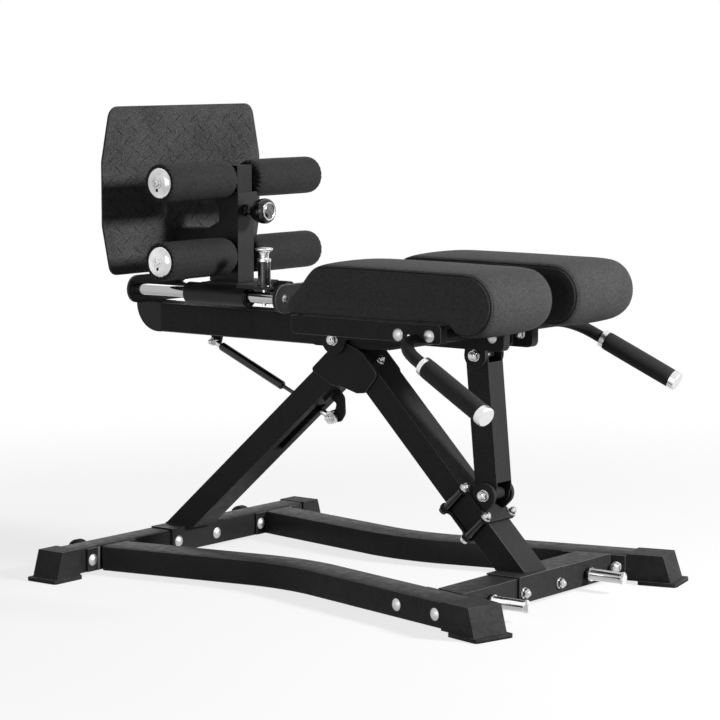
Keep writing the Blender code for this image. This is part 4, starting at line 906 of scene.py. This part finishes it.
def roller_axle(level, body, z):
    """A roller axle with its domed end discs, each with a lock ring, a socket bolt and a notch drawn as a
    black dot of painted shade.
    """
    bm, dark = bmesh.new(), bmesh.new()
    half = [(AXLE_R, 0.0), (AXLE_R, DISC_SEAT)]
    half += [(DISC_R + r, DISC_SEAT + y) for r, y in DISC_RIM] + [(r, AXLE_END_Y + y) for r, y in DISC_DOME]
    lathe([(r, -y) for r, y in reversed(half[1:])] + half, spot(POST_X, 0.0, z), FAR, 72, bm=bm)
    for _, side in SIDES:
        out = Vector((0, side, 0))
        at = spot(POST_X, side * AXLE_END_Y, z)
        lathe(LOCK_RING, at, out, bm=bm)
        socket_head(bm, at + out * 0.0030, out, 0.0068, 0.0052)
        # The notch is a small near-black dot: painted shade of the recess.
        lathe(NOTCH, at + out * 0.0028 - UP * NOTCH_DROP, out, 20, bm=dark)
    made = piece(f"{level}_axle_turned", body, bm, DISC, angle=30.0)
    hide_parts(f"{level}_axle")
    piece(f"{level}_axle_notch_shade", body, dark, THREAD_AND_SHADE, angle=30.0)


# Spring pins

KNOB_FACE_X, KNOB_Z = POST_X + 0.025, 0.720
KNOB_GRIP = mm((7.8, 22.5), (13.5, 23.0), (16.5, 24.4), (18.8, 26.8), (21.6, 32.0), (24.0, 38.4),
               (25.3, 44.6), (25.7, 49.8), (25.2, 54.4), (23.9, 58.2), (22.2, 60.6), (20.6, 61.8),
               (19.6, 62.1), (19.0, 61.5), (18.8, 60.6))
KNOB_RING = mm((18.9, 60.4), (19.0, 61.8), (18.2, 62.6), (16.4, 62.7), (15.4, 62.0), (15.2, 60.4))
KNOB_CENTRE = mm((15.3, 60.6), (15.0, 61.4), (13.8, 62.1), (11.0, 62.9), (7.0, 63.4), (2.0, 63.6))
KNOB_PIN = mm((3.0, -8.0)) + arc((0.0026, 0.0191), 0.0004, 0, 90, 4)
KNOB_BUSH = mm((7.8, 7.2), (7.8, 9.4), (10.6, 10.0), (10.6, 13.6), (9.6, 14.6), (6.0, 14.8))
ROD_PIN_X, ROD_Y = -0.2180, 0.065
ROD_PIN = mm((4.0, 536.0), (4.0, 624.3), (13.0, 624.3), (13.6, 624.9), (13.6, 629.6), (13.0, 630.3),
             (10.0, 630.6), (9.4, 631.2), (9.4, 638.4), (10.2, 641.6), (12.4, 644.8), (15.2, 646.7),
             (17.2, 647.6), (17.7, 648.6), (17.7, 650.2), (17.1, 651.1), (14.4, 651.8), (8.0, 652.4),
             (2.0, 652.6))
ROD_PIN_HOUSING = mm((13.8, 574.2), (13.8, 577.2), (13.3, 577.8), (12.9, 578.2), (12.9, 622.2), (12.4, 623.8),
                     (10.0, 624.1))


def post_knob():
    """The inner post's spring pin: hexagon bush, bright threaded neck and round knob with a bright ring."""
    start = spot(KNOB_FACE_X, 0.0, KNOB_Z)
    body = piece("post_knob_grip", "post_knob", lathe(KNOB_GRIP, start, AHEAD, 72), GLOSS, angle=40.0)
    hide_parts("post_knob")
    bm = lathe(KNOB_RING, start, AHEAD, 64)
    thread_end(bm, start + AHEAD * 0.0150, AHEAD, 0.0100, 0.0066)
    lathe(KNOB_PIN, start, AHEAD, 24, bm=bm)
    piece("post_knob_metal", "post_knob", bm, ZINC, angle=40.0)
    piece("post_knob_cap", "post_knob", lathe(KNOB_CENTRE, start, AHEAD, 56), KNOB_CAP, angle=40.0)
    bm = bmesh.new()
    hexagon(bm, start + AHEAD * 0.0002, AHEAD, 0.0225, 0.0070, 0.0009)
    lathe(KNOB_BUSH, start, AHEAD, bm=bm)
    piece("post_knob_bush", "foot_section", bm, GLOSS, angle=40.0)


def rod_pin():
    """The guide rod's spring pin: bright flared pull over a collar, with its pin through the tab."""
    foot = spot(ROD_PIN_X, -ROD_Y, 0.0)
    made = piece("rod_pin_pull", "rod_pin", lathe(ROD_PIN, foot, UP, 56), SATIN, angle=40.0)
    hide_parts("rod_pin")
    piece("rod_pin_housing", "foot_section", lathe(ROD_PIN_HOUSING, foot, UP, 56), GLOSS, angle=40.0)


# Foam grips

HANDLE_END = Vector((0.5037, 0.3268, 0.3982))
HANDLE_CORNER = Vector((0.2765, 0.2877, 0.5125))
HANDLE_R = 0.012
GRIP_LENGTH, COLLAR_L, GRIP_CAP_L, GRIP_R = 0.1775, 0.010, 0.014, 0.0185
GRIP_END = mm((-2.2, 0.0), (-0.7, 0.6), (0.0, 2.4))  # beyond GRIP_R, and in from the end
GRIP_ROWS, GRIP_SWELL = 12, 0.0002
SCREW_TURN = -35.0


def grip(word, side):
    """A foam grip on its handle, and the set screws of its collar and cap."""
    end, corner = (spot(p.x, side * p.y, p.z) for p in (HANDLE_END, HANDLE_CORNER))
    along = (end - corner).normalized()
    base = end - along * GRIP_LENGTH
    low, high = COLLAR_L + 0.0003, GRIP_LENGTH - GRIP_CAP_L - 0.0003
    bore = HANDLE_R + 0.0004
    profile = [(bore, low)] + [(GRIP_R + r, low + y) for r, y in GRIP_END]
    for step in range(1, GRIP_ROWS):
        share = step / GRIP_ROWS
        profile.append((GRIP_R + GRIP_SWELL * math.sin(share * math.pi), low + (high - low) * share))
    profile += [(GRIP_R + r, high - y) for r, y in reversed(GRIP_END)] + [(bore, high)]
    made = piece(f"grip_{word}_foam", "beam", lathe(profile, base, along, 56, closed=True), FOAM, angle=40.0)
    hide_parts(f"grip_{word}")
    turned = Matrix.Rotation(math.radians(SCREW_TURN * side), 3, along)
    normal = turned @ (UP - along * UP.dot(along)).normalized()
    places = ((COLLAR_L / 2, 0.0182), (GRIP_LENGTH - GRIP_CAP_L * 0.45, GRIP_R + 0.0003))
    fasteners(f"grip_{word}_screws", "beam", [
        (socket_head, base + along * reach + normal * (radius - 0.0009), normal,
         {"radius": 0.0019, "height": 0.0013}) for reach, radius in places
    ])


# Footplate tread

TREAD_PITCH = (0.0505, 0.0400)
TREAD_MIDDLE = (0.006, 0.762)
TREAD_HALF = (0.0118, 0.0087)
TREAD_WIDE, TREAD_HIGH, TREAD_BOW, TREAD_SINK = 0.0008, 0.0008, 0.0012, 0.0002
TREAD_RUN = (-1.0, -0.86, -0.55, 0.0, 0.55, 0.86, 1.0)
TREAD_SECTION = ((-1.0, 0.0), (-0.62, 0.75), (0.0, 1.0), (0.62, 0.75), (1.0, 0.0))
TREAD_MARGIN, TREAD_Z = 0.004, (0.597, 0.927)
PLATE_X = -0.485
PLATE_OUTLINE = (  # height and half width, from the top
    (0.931, 0.212), (0.912, 0.224), (0.822, 0.245), (0.694, 0.245), (0.605, 0.224), (0.593, 0.214))


def plate_half_width(z):
    """Half the footplate's width at a height."""
    for (z1, y1), (z0, y0) in zip(PLATE_OUTLINE, PLATE_OUTLINE[1:]):
        if z0 <= z <= z1:
            return y0 + (y1 - y0) * (z - z0) / (z1 - z0)
    return 0.0


def dash(bm, centre, lean):
    """One raised dash of the checkered plate, bowed and thinned to its ends."""
    along = Vector((0.0, lean * TREAD_HALF[0], TREAD_HALF[1]))
    length = along.length
    along.normalize()
    across = AHEAD.cross(along)
    loops = []
    for share in TREAD_RUN:
        swell = math.sqrt(max(0.0, 1.0 - share * share)) * 0.9 + 0.1
        middle = centre + along * (share * length) + across * (TREAD_BOW * (1 - share * share))
        wide, high = TREAD_WIDE * swell, TREAD_HIGH * swell
        loops.append([middle + across * (side * wide) + AHEAD * (TREAD_SINK + lift * high)
                      for side, lift in TREAD_SECTION])
    skin(loops, bm=bm)


def footplate_tread():
    """The raised crossing dashes of the checkered plate, on its front face, coated darker than the plate as
    painted shade.
    """
    bm = bmesh.new()
    for kind, lean in ((0, -1), (1, 1)):
        for row in range(-6, 7):
            for column in range(-7, 8):
                y = (column + 0.5 * kind) * TREAD_PITCH[0] + TREAD_MIDDLE[0]
                z = TREAD_MIDDLE[1] + (row + 0.5 * kind) * TREAD_PITCH[1]
                low, high = z - TREAD_HALF[1], z + TREAD_HALF[1]
                room = min(plate_half_width(low), plate_half_width(high)) - TREAD_HALF[0] - TREAD_MARGIN
                if abs(y) <= room and low >= TREAD_Z[0] and high <= TREAD_Z[1]:
                    dash(bm, spot(PLATE_X - TREAD_SINK, y, z), lean)
    piece("footplate_tread", "foot_section", bm, POWDER_TREAD_SHADE, angle=60.0)


# Hardware

BAR_BOLT_Z, BAR_BACK_X, REAR_FACE_X = 0.033, -0.5167, -0.4534
REAR_BOLT_Y = (0.206, 0.320, 0.0604)  # two through each rail's flange, one through the strut's saddle
FRONT_FACES_X, FRONT_BOLT_Y, FRONT_BOLT_Z = (0.3330, 0.4068), 0.0603, 0.0299
RAIL_BOLT_X = (0.2985, 0.4040)
RAIL_BEND, RAIL_FRONT, RAIL_W, RAIL_INNER = Vector((-0.0420, 0.1835)), Vector((0.4949, 0.3169)), 0.075, 0.0053
PIVOT, PIVOT_FACE_Y = (-0.0574, 0.4770), 0.0481
LINK_TOP, LINK_LOW = (0.2705, 0.4665), (0.2955, 0.2000)
LINK_TOP_FACE_Y, LINK_LOW_FACE_Y = 0.0308, 0.0341
LINK_BUSH = mm((10.8, -20.5), (11.0, -20.3), (11.0, 20.3), (10.8, 20.5))
TUBE_LOW, TUBE_TOP, SADDLE_TOP = 0.008, 0.058, 0.061
STRUT_HALF = 0.035
STRUT_NUT = (0.0241, -0.0040)
FRONT_SLOPE, FRONT_UPPER, FRONT_LOWER = -1.02, 0.4615, 0.3901
REAR_SLOPE, REAR_UPPER, REAR_LOWER = 0.885, 0.5140, 0.4472
STRUT_THICK, CLAMP_PLAY, CLAMP_T = 0.050, 0.001, 0.006
CLAMP_BOLTS, CLAMP_BOLT_Y, CLAMP_SLEEVE_R = (-0.036, 0.036), 0.0430, 0.0070
WING_FACES_Y, WING_BOLTS = (0.2099, 0.230), ((0.2365, 0.5210), (0.3075, 0.5225))
HANDLE_SCREW = (0.2610, 0.5200)
BAR_FACES_Y, BAR_BOLT = (0.038, 0.058), (0.329, 0.5064)
ROD_Z, FRONT_PLATE_FACE_X = 0.552, -0.166
SLEEVE_X, BUSHING_L = (-0.4140, -0.2580), 0.0058
SLEEVE_BUSHING = mm((12.4, 0.0), (19.2, 0.0), (19.2, 2.2), (18.6, 3.0), (14.0, 3.0), (12.4, 1.6))
GAS_TOP, GAS_LOW = (-0.405, 0.447), (-0.099, 0.314)
EYE_HALF, EYE_EDGE = 0.0064, 0.0008
GAS_EYES = {  # radius, bore, neck's end, nut, washer and lug face; the low bore clears a moving pin
    "gas_top_eye": (0.0088, 0.0050, 0.0190, 0.0115, 0.0074, 0.0108),
    "gas_low_eye": (0.0129, 0.0088, 0.0265, 0.0140, 0.0102, 0.0125),
}
PEG_Y, PEG_Z, PEG_ROOT_X = 0.1665, 0.031, 0.4018
PEG_BAR = mm((11.0, 6.8), (13.0, 7.2), (13.5, 8.0), (13.5, 11.2), (13.0, 12.0), (11.8, 12.3), (11.5, 12.9),
             (11.5, 78.6), (11.8, 79.0), (12.2, 79.2), (12.5, 79.7), (12.5, 82.4), (11.9, 83.1), (6.0, 83.1))
WHEEL_AT, WHEEL_WIDE, WHEEL_SCREW_Y = (-0.551, 0.2564, 0.0300), 0.020, 0.0163
WHEEL_HALF = mm((5.4, 0.0), (9.5, 0.0), (10.0, 1.6), (18.5, 2.2), (19.5, 0.6), (22.8, 0.4), (24.3, 1.8),
                (24.9, 4.0), (24.9, 8.2), (24.0, 9.2))


def base_hardware():
    """Bolts and nuts of the crossbars' flanges and saddles and of the rails' front ends."""
    paired("rear_crossbar_nuts", "frame", [(nut, (BAR_BACK_X, y, BAR_BOLT_Z), BEHIND) for y in REAR_BOLT_Y])
    paired("rear_crossbar_bolts", "frame", [(dome, (REAR_FACE_X, y, BAR_BOLT_Z), AHEAD) for y in REAR_BOLT_Y],
           DOMES)
    back, front = FRONT_FACES_X
    paired("front_strut_nuts", "frame", [(nut, (front, FRONT_BOLT_Y, FRONT_BOLT_Z), AHEAD)])
    domes = [(dome, spot(back, side * FRONT_BOLT_Y, FRONT_BOLT_Z), BEHIND) for _, side in SIDES]
    makes = []
    along = (RAIL_FRONT - RAIL_BEND).normalized()
    for _, side in SIDES:
        outward = Vector((-along.y, side * along.x, 0.0))
        for x in RAIL_BOLT_X:
            y = RAIL_BEND.y + (x - RAIL_BEND.x) * along.y / along.x
            centre = spot(x, side * y, BAR_BOLT_Z)
            domes.append((dome, centre + outward * (RAIL_W / 2), outward))
            makes.append((nut, centre - outward * (RAIL_W / 2 + RAIL_INNER), -outward))
    fasteners("side_rail_nuts", "frame", makes)
    fasteners("side_rail_bolts", "frame", domes, DOMES)


def joint_bolts():
    """The beam's pivot and the link's two pins, each with a nut and a head, and the front strut's nut."""
    for name, body, (x, z), face, radius in (("pivot_bolt", "frame", PIVOT, PIVOT_FACE_Y, 0.0059),
                                             ("link_pin", "beam", LINK_TOP, LINK_TOP_FACE_Y, 0.0059),
                                             ("link_axle", "clamp", LINK_LOW, LINK_LOW_FACE_Y, 0.0069)):
        fasteners(f"{name}_nuts", body, [
            (nut if side < 0 else hex_head, spot(x, side * face, z), FAR * side,
             {"size": 0.0185, "washer_r": 0.0115, "turn": 0.2}) for _, side in SIDES
        ])
        half = face + 0.004
        bm = lathe([(radius, -half), (radius, half)], spot(x, 0.0, z), FAR, 40)
        if name == "link_pin":
            lathe(LINK_BUSH, spot(x, 0.0, z), FAR, 40, bm=bm)
        shaft = piece(f"{name}_shaft", body, bm, ZINC, angle=30.0)
        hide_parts(name)
    x, y = STRUT_NUT
    at, (_, up) = spot(x, y, FRONT_UPPER + FRONT_SLOPE * x), strut_axes()
    fasteners("front_strut_nut", "frame", [(nut, at, up, {"size": 0.014, "washer_r": 0.0095, "end": 0.0024})])


def strut_axes():
    """The front strut's downward direction and the direction out of its upper face."""
    down = Vector((1.0, 0.0, FRONT_SLOPE)).normalized()
    return down, Vector((-down.z, 0.0, down.x))


def clamp_hardware():
    """The four clamp bolts: nuts on the upper plate, heads under the lower one, black sleeves between."""
    down, up = strut_axes()
    x, z = LINK_LOW
    lift = (z - (FRONT_UPPER + FRONT_SLOPE * x)) / math.hypot(1.0, FRONT_SLOPE)
    foot = spot(x, 0.0, z) - up * lift
    length = STRUT_THICK + 2 * CLAMP_PLAY - 0.0008
    edge, radius, thinned = 0.0004, CLAMP_SLEEVE_R, CLAMP_SLEEVE_R - 0.0008
    sleeve = [(thinned, 0.0), (radius, edge), (radius, length - edge), (thinned, length)]
    makes, dark, sleeves = [], [], bmesh.new()
    for _, side in SIDES:
        for reach in CLAMP_BOLTS:
            base = foot + down * reach + FAR * (side * CLAMP_BOLT_Y)
            makes.append((nut, base + up * (CLAMP_PLAY + CLAMP_T), up,
                          {"size": 0.0150, "washer_r": 0.0098, "turn": 0.5, "end": 0.0030}))
            head = (hex_head, base - up * (STRUT_THICK + CLAMP_PLAY + CLAMP_T), -up,
                    {"size": 0.0150, "washer_r": 0.0098})
            (makes if reach > 0 else dark).append(head)
            lathe(sleeve, base + up * (CLAMP_PLAY - 0.0004), -up, 36, bm=sleeves)
    fasteners("clamp_bolts", "clamp", makes)
    fasteners("clamp_upper_heads", "clamp", dark, GLOSS)
    piece("clamp_bolt_sleeves", "clamp", sleeves, GLOSS, angle=30.0)


def pad_frame_hardware():
    """Round heads on the wing rails and the centre bars, and the handle's set screws."""
    (wing_in, wing_out), (bar_in, bar_out) = WING_FACES_Y, BAR_FACES_Y
    x, z = BAR_BOLT
    makes = [(nut, (x, wing_in, z), -FAR, {"size": 0.014, "washer_r": 0.009}) for x, z in WING_BOLTS]
    makes.append((nut, (x, bar_in, z), -FAR, {"size": 0.0155, "washer_r": 0.0100, "end": 0.0024}))
    paired("pad_frame_nuts", "beam", makes)
    domes = [(dome, (x, wing_out, z), FAR) for x, z in WING_BOLTS]
    domes.append((dome, (x, bar_out, z), FAR, {"radius": 0.0105}))
    paired("pad_frame_bolts", "beam", domes, DOMES)
    x, z = HANDLE_SCREW
    screw = (socket_head, (x, wing_out - 0.0002, z), FAR, {"radius": 0.0036, "height": 0.0016})
    paired("handle_set_screws", "beam", [screw])


def foot_hardware():
    """Bolts in the guide rods' ends, and the rings at the mouths of the sliding sleeves."""
    bolt = (hex_head, (FRONT_PLATE_FACE_X, ROD_Y, ROD_Z), AHEAD, {"size": 0.0125, "washer_r": 0.0088})
    paired("guide_rod_bolts", "beam", [bolt])
    rings = bmesh.new()
    for _, side in SIDES:
        for x, out in zip(SLEEVE_X, (-1, 1)):
            lathe(SLEEVE_BUSHING, spot(x - out * BUSHING_L, side * ROD_Y, ROD_Z), AHEAD * out, 56, bm=rings)
    piece("sleeve_bushings", "foot_section", rings, GLOSS)


def gas_spring_hardware():
    """Zinc-plated eyes on the gas spring's ends, beside the plates that carry them, and their pins' nuts."""
    top, low = spot(GAS_TOP[0], 0.0, GAS_TOP[1]), spot(GAS_LOW[0], 0.0, GAS_LOW[1])
    along = (low - top).normalized()
    half, edge = EYE_HALF, EYE_EDGE
    for name, body, pin_body, centre, inward in (("gas_top_eye", "gas_cylinder", "beam", top, along),
                                                 ("gas_low_eye", "gas_rod", "frame", low, -along)):
        radius, bore, neck, nut_size, washer_r, face = GAS_EYES[name]
        bm = lathe([(bore, -half), (radius - edge, -half), (radius, edge - half), (radius, half - edge),
                    (radius - edge, half), (bore, half)], centre, FAR, 40, closed=True)
        lathe([(0.0052, radius * 0.8), (0.0060, radius * 0.9), (0.0060, neck - 0.0008), (0.0054, neck)],
              centre, inward, 28, bm=bm)
        piece(name, body, bm, ZINC)
        bm = bmesh.new()
        nut(bm, centre - FAR * (half + 0.0004), -FAR, nut_size, washer_r, end=0.0022)
        hexagon(bm, centre + FAR * (face + 0.0001), FAR, 0.0120, 0.0042)
        piece(f"{name}_nut", pin_body, bm, ZINC)


def peg_hardware():
    """Black nuts at the band pegs' roots and their bright, chamfered bars."""
    nuts = bmesh.new()
    for word, side in SIDES:
        at = spot(PEG_ROOT_X, side * PEG_Y, PEG_Z)
        hexagon(nuts, at, AHEAD, 0.0225, 0.0068, 0.0010)
        made = piece(f"band_peg_{word}_bar", "frame", lathe(PEG_BAR, at, AHEAD, 56), BAR_CHROME, angle=30.0)
        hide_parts(f"band_peg_{word}")
    piece("band_peg_nuts", "frame", nuts, GLOSS, angle=30.0)


def wheel_hardware():
    """Moulded wheels with a hub and a tread groove, and the heads of their axles."""
    x, y, z = WHEEL_AT
    profile = WHEEL_HALF + [(r, WHEEL_WIDE - across) for r, across in reversed(WHEEL_HALF)]
    heads = []
    for word, side in SIDES:
        bm = lathe(profile, spot(x, side * y - WHEEL_WIDE / 2, z), FAR, 64, closed=True)
        made = piece(f"wheel_{word}_tyre", f"wheel_{word}", bm, RUBBER)
        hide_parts(f"wheel_{word}")
        for out in (-1, 1):
            heads.append((socket_head, spot(x, side * y + out * WHEEL_SCREW_Y, z), FAR * out,
                          {"radius": 0.0070, "height": 0.0040}))
    fasteners("wheel_axle_heads", "frame", heads)


# Welds and soles

BEAD_R, RAIL_BEAD_R, BEAD_STEP = 0.0019, 0.0032, 0.0022
FLANGE_MIDDLE_Y = 0.2650
SOLE_REACH, REAR_SOLE, FRONT_SOLE_HALF = 0.0288, (-0.4877, 0.4045, 0.0330), 0.0395
SOLE_RIB = (0.0022, 0.0030, 0.0026, 0.0004)  # depth, pitch, top and bottom
RIB_HALF, RIB_OUT = 0.28, 0.0006  # half width as a share of the pitch, and how far it stands out


def bead(bm, corners, radius=BEAD_R):
    """A weld bead with its row of ripples, laid along straight runs between the corners."""
    for start, end in zip(corners, corners[1:]):
        count = max(3, int((end - start).length / BEAD_STEP))
        _, side, other = axes_along(end - start)
        loops = []
        for i in range(count + 1):
            size = radius * (1.0 + 0.10 * math.sin(i * 2.6) + 0.05 * math.sin(i * 1.7 + 1.0))
            if i in (0, count):
                size *= 0.4
            loops.append(oval(start.lerp(end, i / count), side * size, other * size, 10))
        skin(loops, bm=bm)


def strut_foot_bead(bm, slope, upper, lower):
    low, high = sorted((SADDLE_TOP - level) / slope for level in (upper, lower))
    y, z = STRUT_HALF, SADDLE_TOP + 0.0004
    bead(bm, [spot(low, -y, z), spot(high, -y, z), spot(high, y, z), spot(low, y, z), spot(low, -y, z)])


def welds():
    """Beads round the struts' feet and the rails' rear ends, with a wider one at each rail's outer corner in
    the lighter edge coat, a painted highlight.
    """
    frame_beads, highlit_rail_beads = bmesh.new(), bmesh.new()
    strut_foot_bead(frame_beads, REAR_SLOPE, REAR_UPPER, REAR_LOWER)
    strut_foot_bead(frame_beads, FRONT_SLOPE, FRONT_UPPER, FRONT_LOWER)
    face, bottom, top = REAR_FACE_X + 0.0003, TUBE_LOW + 0.002, TUBE_TOP - 0.0005
    for _, side in SIDES:
        inner, outer = (side * (FLANGE_MIDDLE_Y + k * (RAIL_W / 2 + 0.0012)) for k in (-1, 1))
        bead(frame_beads, [spot(face, inner, bottom), spot(face, inner, top), spot(face, outer, top)])
        # The wider bead at each rail's outer corner takes the lighter edge coat: a painted highlight.
        bead(highlit_rail_beads, [spot(face, outer, top), spot(face, outer, bottom)], RAIL_BEAD_R)
    piece("frame_weld_beads", "frame", frame_beads, POWDER, angle=180.0)
    piece("rail_weld_bead_highlights", "frame", highlit_rail_beads, POWDER_EDGE_HIGHLIGHT, angle=180.0)


def sole_ribs(bm, at, along, half_width):
    """The row of small teeth along a foot sole's lower outer edge."""
    across = Vector((-along.y, along.x, 0.0))
    depth, pitch, top, bottom = SOLE_RIB
    count = int(2 * half_width / pitch)
    a, b, back = across * (pitch * RIB_HALF), along * RIB_OUT, -along * depth
    for i in range(count):
        middle = at + along * SOLE_REACH + across * ((i + 0.5) * pitch - count * pitch / 2)
        skin([[foot - a + back, foot + a + back, foot + a + b, foot - a + b]
              for foot in (middle + UP * bottom, middle + UP * top)], bm=bm)


def soles():
    bm = bmesh.new()
    x, y, half_width = REAR_SOLE
    for _, side in SIDES:
        sole_ribs(bm, spot(x, side * y, 0.0), Vector((0, side, 0)), half_width)
        along = Vector((RAIL_FRONT.x - RAIL_BEND.x, side * (RAIL_FRONT.y - RAIL_BEND.y), 0.0)).normalized()
        sole_ribs(bm, spot(RAIL_FRONT.x, side * RAIL_FRONT.y, 0.0), along, FRONT_SOLE_HALF)
    # The teeth are near-black, darker than the feet's rubber: painted shade along the sole's lower edge.
    piece("sole_ribs", "frame", bm, THREAD_AND_SHADE, angle=30.0)


# Build

camera()
stage()
for row in FINISHES:
    dress(*row)
for word, side in SIDES:
    hip_pad(word, side)
    grip(word, side)
    roller("lower", word, side, LOWER_AXLE_Z)
    roller("upper", word, side, UPPER_AXLE_Z)
footplate_tread()
for build in (base_hardware, joint_bolts, clamp_hardware, pad_frame_hardware, foot_hardware,
              gas_spring_hardware, peg_hardware, wheel_hardware, post_knob, rod_pin):
    build()
roller_axle("lower", "foot_section", LOWER_AXLE_Z)
roller_axle("upper", "post", UPPER_AXLE_Z)
welds()
soles()
